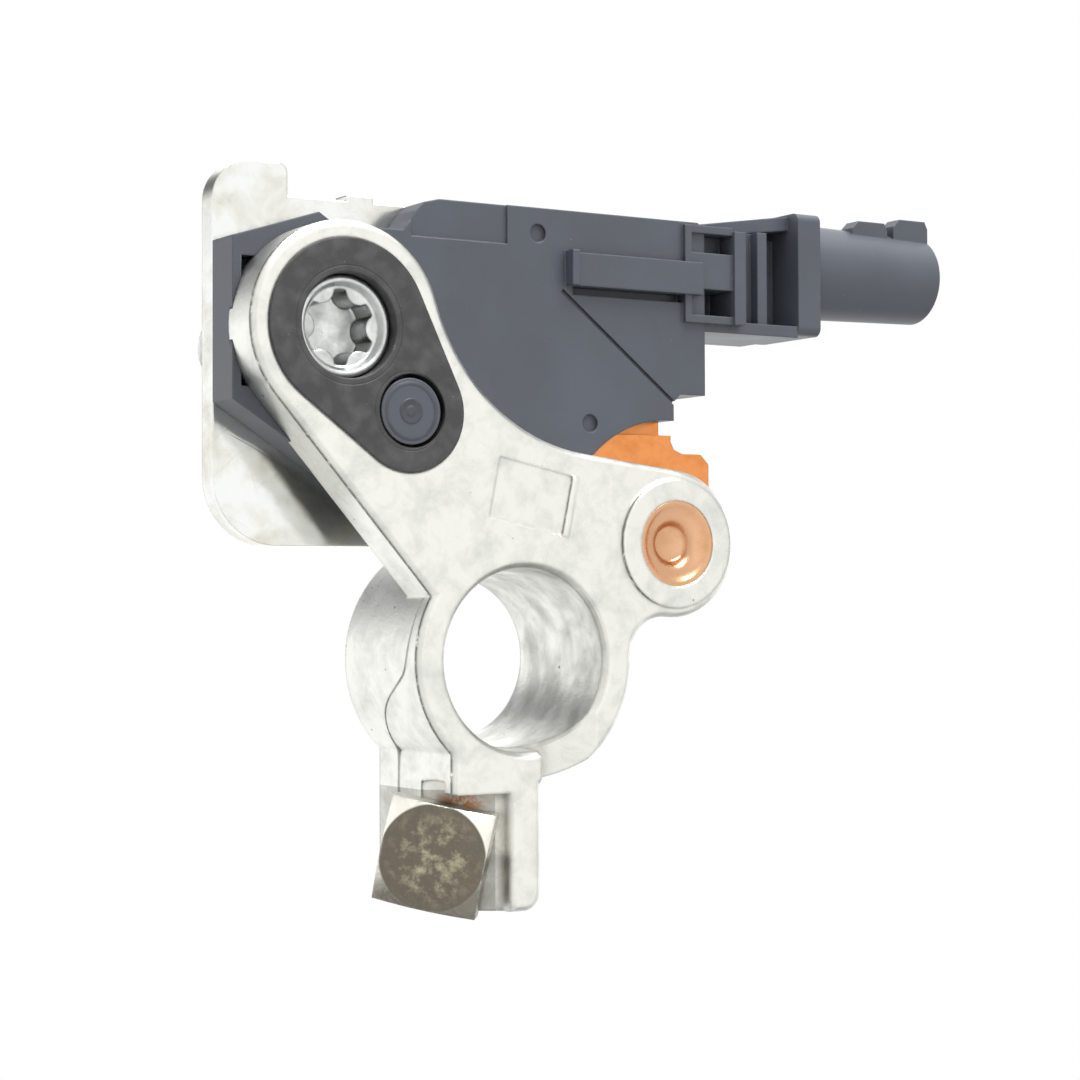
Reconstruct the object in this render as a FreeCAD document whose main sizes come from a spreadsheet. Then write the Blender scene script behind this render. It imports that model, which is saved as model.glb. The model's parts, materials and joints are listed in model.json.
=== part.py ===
"""Negative battery cable clamp with a current sensor between the post clamp and the ground stud.

Frame: the battery post's axis is Z, with the battery side of the clamp at Z = 0 and the open
top side, where the nuts are, towards +Z. The ground stud lies towards +X and +Y, the riveted
lug towards -X, and the clamping leg towards -Y. All lengths are millimetres.
"""
import FreeCAD, Part
import Sketcher
import math
import os
from types import SimpleNamespace

from FreeCAD import Placement, Rotation, Vector

# Driving dimensions: name, value and what it measures.
SIZES = [
    ("post_radius", 8.9, "post bore radius at the battery face"),
    ("post_taper", 0.0556, "fall of the bore radius per mm of height, 1 to 9 on diameter"),
    ("ring_radius", 12.0, "outside of the clamp ring"),
    ("ring_height", 14.8, "height of the clamp ring along the post"),
    ("rim_bevel", 0.7, "bevel round the bore's battery face"),
    ("edge_bevel", 0.5, "worn edges of the casting on its battery face"),
    ("plate_thick", 5.0, "thickness of the arm, the eye and the lug"),
    ("stud_x", 19.1, "ground stud axis"),
    ("stud_y", 31.0, "ground stud axis"),
    ("eye_radius", 9.8, "outside of the eye round the stud"),
    ("shoulder_angle", 30.5, "where the arm's outer edge meets the ring, in degrees"),
    ("throat_radius", 19.5, "hollow edge between the eye and the lug"),
    ("throat_run", 11.5, "straight run between the hollow edge and the lug"),
    ("lug_x", -17.1, "rivet axis"),
    ("lug_y", 11.3, "rivet axis"),
    ("lug_radius", 7.3, "outside of the lug"),
    ("lug_fillet", 3.8, "hollow corner between the lug and the ring"),
    ("lug_rim_height", 0.5, "raised ring round the rivet, on the battery face"),
    ("lug_rim_radius", 6.4, "outside of that raised ring"),
    ("leg_outer_x", 8.2, "outer side wall of the clamping leg"),
    ("leg_inner_x", -1.5, "inner side wall of the clamping leg"),
    ("leg_end_y", -23.9, "free end of the clamping leg"),
    ("leg_corner", 1.8, "rounded corners at the leg's free end"),
    ("bolt_tilt", 36.0, "lean of the clamping bolt from the post axis, in degrees"),
    ("bolt_y", -18.5, "clamping bolt axis"),
    ("pocket_wall_x", 1.9, "upright wall of the bolt head's pocket"),
    ("pocket_lip", 1.6, "height of that wall"),
    ("pocket_reach", 6.3, "from the foot of that wall to the bolt axis, along the floor"),
    ("pocket_top", 5.9, "from the bolt axis up to the pocket's end wall"),
    ("front_ear", 3.6, "metal between the pocket floor and the slit"),
    ("slit_gap", 0.8, "width of the clamping slit"),
    ("back_ear", 5.2, "metal between the slit and the washer face"),
    ("slit_turn_x", 5.6, "where the slit turns to run along the post"),
    ("slit_end_y", -4.6, "where the slit ends inside the bore"),
    ("scoop_end_y", -6.2, "where the open notch beside the leg ends"),
    ("boss_radius", 5.4, "boss under the washer"),
    ("spot_gap", 0.4, "washer edge to the spot face's rim"),
    ("bolt_radius", 2.95, "clamping bolt shank, M6"),
    ("bolt_hole_gap", 0.35, "clearance round the shank"),
    ("head_side", 10.0, "square head across the flats"),
    ("head_thick", 4.2, "square head"),
    ("relief_radius", 4.2, "round hollow above the pocket floor, where the head's corner swings"),
    ("relief_top", 7.15, "from the bolt axis up to the top of that hollow"),
    ("relief_rise", 3.6, "height of that hollow"),
    ("panel_x", -0.8, "marking panel on the arm"),
    ("panel_y", 15.6, "marking panel on the arm"),
    ("panel_length", 9.0, "marking panel"),
    ("panel_width", 5.9, "marking panel"),
    ("panel_turn", 12.0, "lean of the marking panel, in degrees"),
    ("panel_depth", 0.2, "marking panel"),
    ("panel_bar", 0.7, "raised bar at the panel's end"),
    ("head_disc", 5.1, "flat round top left where the head's corners are turned down"),
    ("head_slope", 0.6, "fall of the turned-down corners per mm of radius"),
    ("head_turn", 12.0, "how far the loose head has turned in its pocket, in degrees"),
    ("head_rest", 0.05, "play under the loose head"),
    ("washer_thick", 1.1, "captive washer"),
    ("washer_radius", 5.9, "captive washer"),
    ("nut_flats", 10.0, "hexagon nut across the flats"),
    ("nut_thick", 5.0, "hexagon nut"),
    ("nut_slack", 2.0, "how far the nut has been backed off"),
    ("nut_bore_gap", 0.05, "running clearance of the nut on the shank"),
    ("bolt_point", 2.4, "shank standing out past the nut"),
    ("insert_big", 8.1, "insulating insert round the stud"),
    ("insert_small", 5.7, "insulating insert round the peg"),
    ("insert_proud", 0.2, "how far the insert stands out of the eye"),
    ("peg_x", 12.8, "locating peg"),
    ("peg_y", 23.3, "locating peg"),
    ("peg_radius", 3.1, "locating peg"),
    ("peg_gap", 0.6, "groove round the peg"),
    ("peg_rise", 0.1, "how far the peg stands out of the insert"),
    ("stud_radius", 3.95, "ground stud thread, M8"),
    ("stud_knurl_radius", 4.6, "knurled shoulder pressed into the ground plate"),
    ("stud_head_radius", 4.8, "ground stud driving end"),
    ("stud_head_gap", 0.7, "groove round the driving end"),
    ("stud_head_rise", 0.5, "how far the driving end stands out"),
    ("stud_collar_radius", 6.2, "collar between the insert and the ground plate"),
    ("stud_tip_z", 26.5, "top of the stud"),
    ("stud_head_edge", 0.4, "bevel round the driving end"),
    ("dish_radius", 4.2, "dished face of the driving end, inside its rim"),
    ("dish_floor", 3.75, "bottom of that dish"),
    ("dish_depth", 1.1, "depth of that dish"),
    ("lobe_radius", 3.55, "six-lobed socket, over its lobes"),
    ("lobe_inner", 2.55, "six-lobed socket, between its lobes"),
    ("lobe_round", 0.7, "rounding of each lobe"),
    ("lobe_depth", 3.4, "six-lobed socket"),
    ("ground_z", 8.8, "battery-side face of the ground plate"),
    ("ground_thick", 2.4, "ground plate"),
    ("ground_outer_x", 28.8, "outer edge of the ground plate"),
    ("ground_inner_x", 5.6, "inner edge of the ground plate"),
    ("ground_low_y", 10.9, "lower edge of the ground plate"),
    ("ground_high_y", 44.0, "upper edge of the ground plate"),
    ("ground_corner", 6.5, "lower corner of the ground plate"),
    ("tab_rise", 3.1, "tab on the ground plate's upper edge"),
    ("tab_width", 7.7, "tab, from the plate's outer edge"),
    ("tab_corner", 3.9, "outer corner of the tab"),
    ("tab_small", 0.9, "inner corner of the tab"),
    ("nub_x", 12.0, "shear nub on the plate's upper edge"),
    ("nub_width", 2.8, "shear nub"),
    ("nub_rise", 0.6, "shear nub"),
    ("shunt_thick", 1.6, "copper and resistance strip"),
    ("strip_low_y", 27.0, "lower edge of the strip inside the housing"),
    ("strip_high_y", 37.5, "upper edge of the strip inside the housing"),
    ("strip_a_x", -7.0, "joint between the battery end and the resistance strip"),
    ("strip_b_x", -1.0, "joint between the resistance strip and the ground end"),
    ("tongue_outer_x", -24.8, "outer edge of the copper tongue beside the lug"),
    ("tongue_neck_x", -20.1, "outer edge of the tongue where it enters the housing"),
    ("tongue_corner", 1.0, "corners of the copper tongue"),
    ("tongue_inner_x", -9.0, "inner edge of the copper tongue"),
    ("tongue_shoulder_y", 20.6, "step in the tongue's outer edge"),
    ("tongue_rise_y", 22.4, "where the tongue steps up to the level of the strip"),
    ("rivet_radius", 4.25, "rivet collar in the lug"),
    ("rivet_lip", 3.95, "outer edge of the sloped rim"),
    ("rivet_mouth", 3.3, "mouth of the rivet's cup"),
    ("rivet_cup", 1.9, "flat bottom of the cup"),
    ("rivet_slope", 0.45, "depth of the sloped rim"),
    ("rivet_depth", 1.7, "depth of the cup's bottom"),
    ("rivet_foot_radius", 5.45, "closing head behind the copper tongue"),
    ("rivet_foot", 1.2, "thickness of the closing head"),
    ("housing_wall", 1.4, "moulded walls of the housing"),
    ("housing_top_y", 44.3, "upper side of the housing"),
    ("housing_face_z", 4.4, "battery-side face of the housing"),
    ("housing_low_y", 26.6, "lower side of the deep part of the housing"),
    ("housing_right_x", -24.0, "connector side of the housing"),
    ("housing_corner", 0.8, "small corners of the housing's outline"),
    ("notch_x", -20.1, "edge of the housing beside the copper tongue"),
    ("notch_y", 23.9, "foot of that edge"),
    ("lip_x", -10.4, "where the curved lip over the copper meets the clamp's arm"),
    ("lip_y", 20.2, "where the curved lip over the copper meets the clamp's arm"),
    ("lip_radius", 13.0, "curved lip over the copper"),
    ("tuck_x", 12.0, "hidden lower corner of the housing behind the arm"),
    ("tuck_y", 13.5, "hidden lower corner of the housing behind the arm"),
    ("spacer_low_y", 24.2, "lower side of the spacer beside the eye"),
    ("spacer_high_y", 39.2, "upper side of the spacer beside the eye"),
    ("spacer_rise_x", 20.0, "where the spacer reaches its full height"),
    ("spacer_top_y", 42.0, "upper side of the spacer above the eye"),
    ("spacer_dip_y", 41.0, "upper side of the spacer where the eye hides it"),
    ("top_step_x", 10.2, "step from the spacer up to the housing's upper side"),
    ("recess_x", 27.9, "outer side of the hollow in the spacer's face"),
    ("recess_low_y", 25.4, "lower side of that hollow"),
    ("recess_high_y", 37.4, "upper side of that hollow"),
    ("recess_depth", 2.2, "depth of that hollow"),
    ("dimple_radius", 0.9, "ejector marks on the housing's face"),
    ("dimple_depth", 0.4, "ejector marks on the housing's face"),
    ("dimple_a_x", -4.0, "upper ejector mark"),
    ("dimple_a_y", 41.8, "upper ejector mark"),
    ("dimple_b_x", -10.0, "lower ejector mark"),
    ("dimple_b_y", 23.3, "lower ejector mark"),
    ("ledge_y", 40.5, "shallow ledge below the housing's upper side"),
    ("ledge_end_x", -0.5, "end of that ledge"),
    ("crease_x", -6.9, "upper end of the shallow crease across the housing"),
    ("crease_y", 36.5, "upper end of the shallow crease across the housing"),
    ("crease_length", 20.0, "that crease"),
    ("crease_turn", 38.5, "fall of that crease, in degrees"),
    ("crease_depth", 0.3, "depth of the ledge and the crease"),
    ("room_gap", 0.2, "clearance round the rivet inside the housing"),
    ("housing_left_x", 3.6, "stud side of the deep part of the housing"),
    ("housing_back_z", 14.8, "back of the housing with its cover"),
    ("cover_thick", 1.3, "housing cover"),
    ("board_thick", 1.6, "circuit board"),
    ("board_z", 10.6, "battery-side face of the board"),
    ("board_margin", 0.2, "board edge to the housing's walls"),
    ("socket_y", 41.0, "connector axis"),
    ("socket_z", 10.0, "connector axis"),
    ("socket_radius", 5.1, "connector shroud"),
    ("socket_wall", 1.0, "wall of the connector shroud"),
    ("socket_start_x", -39.0, "connector shroud starts at the flange"),
    ("socket_end_x", -56.2, "open end of the connector shroud"),
    ("socket_depth", 13.0, "how deep the shroud is open"),
    ("socket_taper", 0.02, "fall of the shroud's radius per mm towards its open end"),
    ("flange_thick", 2.9, "flange behind the shroud"),
    ("flange_low_y", 33.5, "lower edge of the flange"),
    ("flange_high_y", 46.4, "upper edge of the flange"),
    ("flange_corner", 0.9, "rounded corners of the flange"),
    ("block_low_y", 33.2, "lower wall of the connector block"),
    ("block_wall", 1.2, "walls of the connector block"),
    ("block_core_z", 9.0, "bottom of the gap beside the flange"),
    ("block_low_z", 4.6, "battery-side edge of the block's lower wall"),
    ("block_top_z", 6.2, "battery-side edge of the block's upper wall"),
    ("frame_start_x", -21.3, "raised frame with the two pockets"),
    ("frame_end_x", -27.2, "raised frame with the two pockets"),
    ("frame_z", 3.9, "face of that frame"),
    ("frame_high_y", 44.0, "upper side of that frame"),
    ("upper_pocket", 2.0, "height of the upper pocket"),
    ("lower_pocket", 2.7, "height of the lower pocket"),
    ("frame_side", 0.8, "sides of that frame"),
    ("rib_x", -28.6, "outer side of the upright rib beside the frame"),
    ("rib_rise", 0.4, "how far that rib stands out of the frame"),
    ("floor_z", 6.2, "floor between the two ribs"),
    ("second_rib_x", -31.2, "second upright rib"),
    ("second_rib", 1.2, "thickness of the second rib"),
    ("rail_start_x", -8.0, "guide rail on the housing's face"),
    ("rail_low_y", 36.8, "guide rail"),
    ("rail_high_y", 40.1, "guide rail"),
    ("rail_rise", 1.0, "how far the guide rail stands out"),
    ("rail_slot", 0.8, "slot along the rail's lower side"),
    ("key_low_z", 7.3, "the two keys on the shroud"),
    ("key_high_z", 9.3, "the two keys on the shroud"),
    ("key_first_x", -45.7, "start of the first key"),
    ("key_first_top", 46.7, "top of the first key"),
    ("key_second_x", -51.4, "start of the second key"),
    ("key_second_top", 47.3, "top of the second key"),
    ("key_length", 4.8, "each key along the shroud"),
    ("pin_width", 0.64, "connector pins"),
    ("pin_pitch", 2.6, "spacing of the connector pins"),
    ("pin_reach", 9.0, "how far the pins stand into the shroud"),
]

doc = FreeCAD.newDocument("BatteryCableClamp")
sheet = doc.addObject("Spreadsheet::Sheet", "Sizes")
for row, (alias, size, meaning) in enumerate(SIZES, start=1):
    sheet.set(f"A{row}", alias)
    sheet.set(f"B{row}", str(size))
    sheet.setAlias(f"B{row}", alias)
    sheet.set(f"C{row}", meaning)
doc.recompute()
s = SimpleNamespace(**{alias: size for alias, size, meaning in SIZES})

UP = Vector(0, 0, 1)
TILT = math.radians(s.bolt_tilt)
ALONG_BOLT = Vector(-math.sin(TILT), 0, math.cos(TILT))
ALONG_FLOOR = Vector(math.cos(TILT), 0, math.sin(TILT))
BOLT_TURN = Rotation(Vector(0, 1, 0), -s.bolt_tilt)
# The bolt's seat: the pocket floor where the bolt axis passes through it.
SEAT = Vector(s.pocket_wall_x, s.bolt_y, s.pocket_lip) + ALONG_FLOOR * s.pocket_reach


def on_bolt(height, across=0.0, aside=0.0):
    """A point beside the bolt axis: height above the pocket floor, away from the head."""
    return SEAT + ALONG_BOLT * height + ALONG_FLOOR * across + Vector(0, aside, 0)


def bind(item, **formulas):
    """Tie properties to the sheet; a formula names sizes as Sizes.alias."""
    for prop, formula in formulas.items():
        item.setExpression(prop.replace("__", "."), formula)


def cylinder(name, radius, height, place=None):
    """A cylinder whose radius and height are formulas over the sheet."""
    item = doc.addObject("Part::Cylinder", name)
    bind(item, Radius=radius, Height=height)
    if place is not None:
        item.Placement = place
    return item


def upright(item, x, y, z="0"):
    """Stand an item at formulas for its three coordinates."""
    bind(item, Placement__Base__x=x, Placement__Base__y=y, Placement__Base__z=z)
    return item


def block(name, x0, x1, y0, y1, z0, z1):
    """A box between pairs of formulas."""
    item = doc.addObject("Part::Box", name)
    bind(item, Length=f"({x1}) - ({x0})", Width=f"({y1}) - ({y0})", Height=f"({z1}) - ({z0})")
    return upright(item, x0, y0, z0)


def extrude(name, profile, height, direction=UP):
    """A closed sketch drawn out by a formula for its height."""
    item = doc.addObject("Part::Extrusion", name)
    item.Base = profile
    item.DirMode = "Custom"
    item.Dir = direction
    item.Solid = True
    bind(item, LengthFwd=height)
    return item


def fuse(name, *items):
    item = doc.addObject("Part::MultiFuse", name)
    item.Shapes = list(items)
    item.Refine = True
    return item


def cut(name, base, *tools):
    """Take tools away from a base, several at once as one fused tool."""
    tool = tools[0] if len(tools) == 1 else fuse(name + "_tools", *tools)
    item = doc.addObject("Part::Cut", name)
    item.Base = base
    item.Tool = tool
    item.Refine = True
    return item


def bevel(name, base, size, wanted, kind="Part::Chamfer"):
    """Bevel or round the edges of a base that the test wants, by a size of the sheet."""
    doc.recompute()
    item = doc.addObject(kind, name)
    item.Base = base
    picked = [i for i, edge in enumerate(base.Shape.Edges, start=1) if wanted(edge)]
    item.Edges = [(i, size, size) for i in picked]
    return item


def polygon(name, points, place=Placement(), closed=True):
    """A sketch with straight sides through the given points, closed unless told otherwise."""
    sketch = doc.addObject("Sketcher::SketchObject", name)
    sketch.Placement = place
    corners = [Vector(x, y, 0) for x, y in points]
    ends = corners[1:] + corners[:1] if closed else corners[1:]
    for start, end in zip(corners, ends):
        sketch.addGeometry(Part.LineSegment(start, end))
    for side in range(len(ends) if closed else len(ends) - 1):
        following = (side + 1) % len(ends)
        sketch.addConstraint(Sketcher.Constraint("Coincident", side, 2, following, 1))
    return sketch


def arc_through(centre, radius, start, end):
    """The arc that runs counter-clockwise from start to end."""
    angles = [math.atan2(p.y - centre.y, p.x - centre.x) for p in (start, end)]
    if angles[1] < angles[0]:
        angles[1] += 2 * math.pi
    return Part.ArcOfCircle(Part.Circle(centre, UP, radius), *angles)


def fix_arc(sketch, index, x, y, radius):
    """Tie an arc's centre and radius to formulas over the sheet."""
    for kind, formula in (("DistanceX", x), ("DistanceY", y), ("Radius", radius)):
        geometry = sketch.Geometry[index]
        if kind == "Radius":
            number = sketch.addConstraint(Sketcher.Constraint(kind, index, geometry.Radius))
        else:
            value = geometry.Center.x if kind == "DistanceX" else geometry.Center.y
            number = sketch.addConstraint(Sketcher.Constraint(kind, -1, 1, index, 3, value))
        sketch.setExpression(f"Constraints[{number}]", formula)


def turned(vector, angle):
    return Rotation(UP, math.degrees(angle)).multVec(vector)


def meeting(first, first_reach, second, second_reach):
    """The point at two distances from two centres, to the left of the way from first to second."""
    span = (second - first).Length
    along = (first_reach ** 2 - second_reach ** 2 + span ** 2) / (2 * span)
    aside = math.sqrt(first_reach ** 2 - along ** 2)
    line = (second - first).normalize()
    return first + line * along + turned(line, math.radians(90)) * aside


def egg(name, gap, place=Placement()):
    """The outline of the insulating insert: two arcs and their common tangents."""
    big, small = Vector(s.stud_x, s.stud_y), Vector(s.peg_x, s.peg_y)
    big_r, small_r = s.insert_big + gap, s.insert_small + gap
    towards = (small - big).normalize()
    lean = math.acos((big_r - small_r) / (small - big).Length)
    left, right = turned(towards, lean), turned(towards, -lean)
    sketch = doc.addObject("Sketcher::SketchObject", name)
    sketch.Placement = place
    sketch.addGeometry(arc_through(big, big_r, big + left * big_r, big + right * big_r))
    sketch.addGeometry(Part.LineSegment(big + right * big_r, small + right * small_r))
    sketch.addGeometry(arc_through(small, small_r, small + right * small_r, small + left * small_r))
    sketch.addGeometry(Part.LineSegment(small + left * small_r, big + left * big_r))
    for first, end, second, start in ((0, 2, 1, 1), (1, 2, 2, 1), (2, 2, 3, 1), (3, 2, 0, 1)):
        sketch.addConstraint(Sketcher.Constraint("Tangent", first, end, second, start))
    fix_arc(sketch, 0, "Sizes.stud_x", "Sizes.stud_y", f"Sizes.insert_big + {gap}")
    fix_arc(sketch, 2, "Sizes.peg_x", "Sizes.peg_y", f"Sizes.insert_small + {gap}")
    return sketch


def clamp_outline(name="ArmOutline"):
    """The flat arm seen along the post: eye, hollow throat, lug and the shoulder on the ring."""
    eye, lug, post = Vector(s.stud_x, s.stud_y), Vector(s.lug_x, s.lug_y), Vector(0, 0)
    shoulder = turned(Vector(s.ring_radius, 0, 0), math.radians(s.shoulder_angle))
    throat = meeting(lug, math.hypot(s.throat_radius + s.lug_radius, s.throat_run),
                     eye, s.throat_radius + s.eye_radius)
    away = shoulder - eye
    outer = eye + turned(away.normalize(), math.acos(s.eye_radius / (shoulder - eye).Length)) * s.eye_radius
    inner = eye + (throat - eye).normalize() * s.eye_radius
    drop = lug - throat
    lean = math.acos((s.throat_radius + s.lug_radius) / drop.Length)
    down = turned(drop.normalize(), lean)
    hollow_end, lug_top = throat + down * s.throat_radius, lug - down * s.lug_radius
    corner = meeting(post, s.ring_radius + s.lug_fillet, lug, s.lug_radius + s.lug_fillet)
    lug_low = lug + (corner - lug).normalize() * s.lug_radius
    ring_side = Vector(corner).normalize() * s.ring_radius
    sketch = doc.addObject("Sketcher::SketchObject", name)
    for piece in (
        Part.LineSegment(shoulder, outer),
        arc_through(eye, s.eye_radius, outer, inner),
        arc_through(throat, s.throat_radius, hollow_end, inner),
        Part.LineSegment(hollow_end, lug_top),
        arc_through(lug, s.lug_radius, lug_top, lug_low),
        arc_through(corner, s.lug_fillet, ring_side, lug_low),
        Part.LineSegment(ring_side, shoulder),
    ):
        sketch.addGeometry(piece)
    sketch.addConstraint(Sketcher.Constraint("Tangent", 0, 2, 1, 1))
    sketch.addConstraint(Sketcher.Constraint("Tangent", 1, 2, 2, 2))
    sketch.addConstraint(Sketcher.Constraint("Tangent", 2, 1, 3, 1))
    sketch.addConstraint(Sketcher.Constraint("Tangent", 3, 2, 4, 1))
    sketch.addConstraint(Sketcher.Constraint("Tangent", 4, 2, 5, 2))
    sketch.addConstraint(Sketcher.Constraint("Coincident", 5, 1, 6, 1))
    sketch.addConstraint(Sketcher.Constraint("Coincident", 6, 2, 0, 1))
    fix_arc(sketch, 1, "Sizes.stud_x", "Sizes.stud_y", "Sizes.eye_radius")
    fix_arc(sketch, 4, "Sizes.lug_x", "Sizes.lug_y", "Sizes.lug_radius")
    return sketch


def side_profile(name, points, y_high, y_low):
    """A prism across the leg: points in X and Z, drawn out along Y between two heights."""
    place = Placement(Vector(0, y_high, 0), Rotation(Vector(1, 0, 0), 90))
    sketch = polygon(name + "_profile", points, place)
    item = doc.addObject("Part::Extrusion", name)
    item.Base = sketch
    item.DirMode = "Custom"
    item.Dir = Vector(0, -1, 0)
    item.Solid = True
    item.LengthFwd = y_high - y_low
    return item


def flat(point):
    return point.x, point.z


# The cast clamp: ring, arm with eye, riveted lug and clamping leg in one piece.
CLEAR = 30.0  # how far a cutting tool runs past the metal
LEG_END_CLEAR = s.leg_end_y - CLEAR


def make_clamp_body():
    def on_face(edge):
        return edge.BoundBox.ZMax < 0.01

    arm = bevel("ArmBevelled", extrude("Arm", clamp_outline(), "Sizes.plate_thick"),
                s.edge_bevel, on_face)
    drum = bevel("DrumBevelled", cylinder("Drum", "Sizes.ring_radius", "Sizes.ring_height"),
                 s.edge_bevel, on_face)
    leg = block("Leg", "Sizes.leg_inner_x", "Sizes.leg_outer_x", "Sizes.leg_end_y",
                "-Sizes.post_radius * 0.6", "0", "Sizes.ring_height")
    leg = bevel("LegRounded", leg, s.leg_corner,
                lambda edge: edge.CenterOfMass.y < s.leg_end_y + 0.01
                and abs(edge.CenterOfMass.z - s.ring_height / 2) < 0.01, "Part::Fillet")
    leg = bevel("LegBevelled", leg, s.edge_bevel, on_face)
    boss = cylinder("WasherBoss", "Sizes.boss_radius", "Sizes.back_ear",
                    Placement(on_bolt(s.front_ear + s.slit_gap), BOLT_TURN))
    lug_rim = upright(cylinder("LugRim", "Sizes.lug_rim_radius",
                               "Sizes.plate_thick + Sizes.lug_rim_height"),
                      "Sizes.lug_x", "Sizes.lug_y", "-Sizes.lug_rim_height")
    solid = fuse("ClampBlank", arm, drum, leg, boss, lug_rim)

    bore = doc.addObject("Part::Cone", "PostBore")
    bind(bore, Radius1="Sizes.post_radius",
         Radius2="Sizes.post_radius - Sizes.post_taper * Sizes.ring_height",
         Height="Sizes.ring_height")
    rim = doc.addObject("Part::Cone", "BoreBevel")
    bind(rim, Radius1="Sizes.post_radius + Sizes.rim_bevel * 0.7",
         Radius2="Sizes.post_radius - Sizes.post_taper * Sizes.rim_bevel",
         Height="Sizes.rim_bevel")
    egg_pocket = extrude("EggPocket", egg("EggPocketOutline", 0.0), "Sizes.plate_thick")
    lug_hole = upright(cylinder("LugHole", "Sizes.rivet_radius",
                                "Sizes.plate_thick + Sizes.lug_rim_height"),
                       "Sizes.lug_x", "Sizes.lug_y", "-Sizes.lug_rim_height")
    bolt_hole = cylinder("BoltHole", "Sizes.bolt_radius + Sizes.bolt_hole_gap",
                         f"Sizes.front_ear + Sizes.slit_gap + Sizes.back_ear + {CLEAR}",
                         Placement(on_bolt(-CLEAR / 2), BOLT_TURN))
    spot = cylinder("SpotFace", "Sizes.washer_radius + Sizes.spot_gap", f"{CLEAR}",
                    Placement(on_bolt(s.front_ear + s.slit_gap + s.back_ear), BOLT_TURN))
    # The pocket floor leans with the bolt and runs out through the leg's outer side and end.
    foot = on_bolt(0, -s.pocket_reach)
    lip = Vector(s.pocket_wall_x, 0, -CLEAR)
    pocket = side_profile(
        "HeadPocket", [flat(foot), flat(lip), flat(on_bolt(0, CLEAR) - UP * 3 * CLEAR), flat(on_bolt(0, CLEAR))],
        s.bolt_y + s.pocket_top, LEG_END_CLEAR)
    relief = cylinder("HeadRelief", "Sizes.relief_radius", "Sizes.relief_rise",
                      Placement(on_bolt(-s.relief_rise, 0, s.relief_top - s.relief_radius),
                                BOLT_TURN))
    # The slit follows the washer face below the ring, then turns to run along the post.
    near, far = s.front_ear, s.front_ear + s.slit_gap
    turn_near = near_at_x(near, s.slit_turn_x)
    turn_far = near_at_x(far, s.slit_turn_x - s.slit_gap)
    back = s.ring_height + CLEAR
    slit = side_profile(
        "Slit", [flat(on_bolt(near, -CLEAR)), flat(turn_near), (s.slit_turn_x, back),
                 (s.slit_turn_x - s.slit_gap, back), flat(turn_far), flat(on_bolt(far, -CLEAR))],
        s.slit_end_y, LEG_END_CLEAR)
    meet = near_at_x(far, s.leg_inner_x)
    scoop = side_profile(
        "Scoop", [(s.leg_inner_x, -CLEAR), flat(meet), flat(on_bolt(far, -CLEAR))],
        s.scoop_end_y, LEG_END_CLEAR)
    panel = panel_box("MarkingPanel", "Sizes.panel_length", -1, "Sizes.panel_depth * 2")
    solid = cut("ClampCut", solid, bore, rim, egg_pocket, lug_hole, bolt_hole, spot, pocket, relief,
                slit, scoop, panel)
    solid = fuse("ClampWithBar", solid,
                 panel_box("PanelBar", "Sizes.panel_bar", -0.7, "Sizes.panel_depth * 2"))
    solid.Label = "clamp_body"
    return solid


def panel_box(name, length, rise, height):
    """A box from the outer end of the marking panel; rise is its low side in panel depths."""
    item = doc.addObject("Part::Box", name)
    bind(item, Length=length, Width="Sizes.panel_width", Height=height)
    item.Placement = Placement(
        Vector(s.panel_x, s.panel_y, rise * s.panel_depth), Rotation(UP, s.panel_turn)).multiply(
        Placement(Vector(-s.panel_length / 2, -s.panel_width / 2, 0), Rotation()))
    return item


def near_at_x(height, x):
    """Where the plane at a height on the bolt crosses a given X, in the plane of the post."""
    start = on_bolt(height)
    return start + ALONG_FLOOR * ((x - start.x) / ALONG_FLOOR.x)


def make_clamp_bolt():
    """Square head with its corners turned down; the shank runs through both ears."""
    turn = BOLT_TURN.multiply(Rotation(UP, s.head_turn))
    half = s.head_side / 2
    low = -s.head_rest
    square = doc.addObject("Part::Box", "HeadSquare")
    bind(square, Length="Sizes.head_side", Width="Sizes.head_side", Height="Sizes.head_thick")
    square.Placement = Placement(on_bolt(low - s.head_thick), turn).multiply(
        Placement(Vector(-half, -half, 0), Rotation()))
    turned_down = doc.addObject("Part::Cone", "HeadCorners")
    bind(turned_down, Radius1="Sizes.head_disc", Height="Sizes.head_thick",
         Radius2="Sizes.head_disc + Sizes.head_thick / Sizes.head_slope")
    turned_down.Placement = Placement(on_bolt(low - s.head_thick), turn)
    head = doc.addObject("Part::Common", "Head")
    head.Base = square
    head.Tool = turned_down
    length = s.front_ear + s.slit_gap + s.back_ear + s.nut_slack + s.washer_thick + s.nut_thick
    shank = cylinder("BoltShank", "Sizes.bolt_radius",
                     "Sizes.front_ear + Sizes.slit_gap + Sizes.back_ear + Sizes.nut_slack"
                     " + Sizes.washer_thick + Sizes.nut_thick + Sizes.bolt_point",
                     Placement(on_bolt(low), turn))
    bolt = fuse("Bolt", head, shank)
    end = on_bolt(low + length + s.bolt_point)
    bolt = bevel("BoltPointed", bolt, s.bolt_radius * 0.25,
                 lambda edge: (edge.CenterOfMass - end).Length < 0.05)
    bolt.Label = "clamp_bolt"
    return bolt


def washer_height():
    return s.front_ear + s.slit_gap + s.back_ear + s.nut_slack


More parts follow.
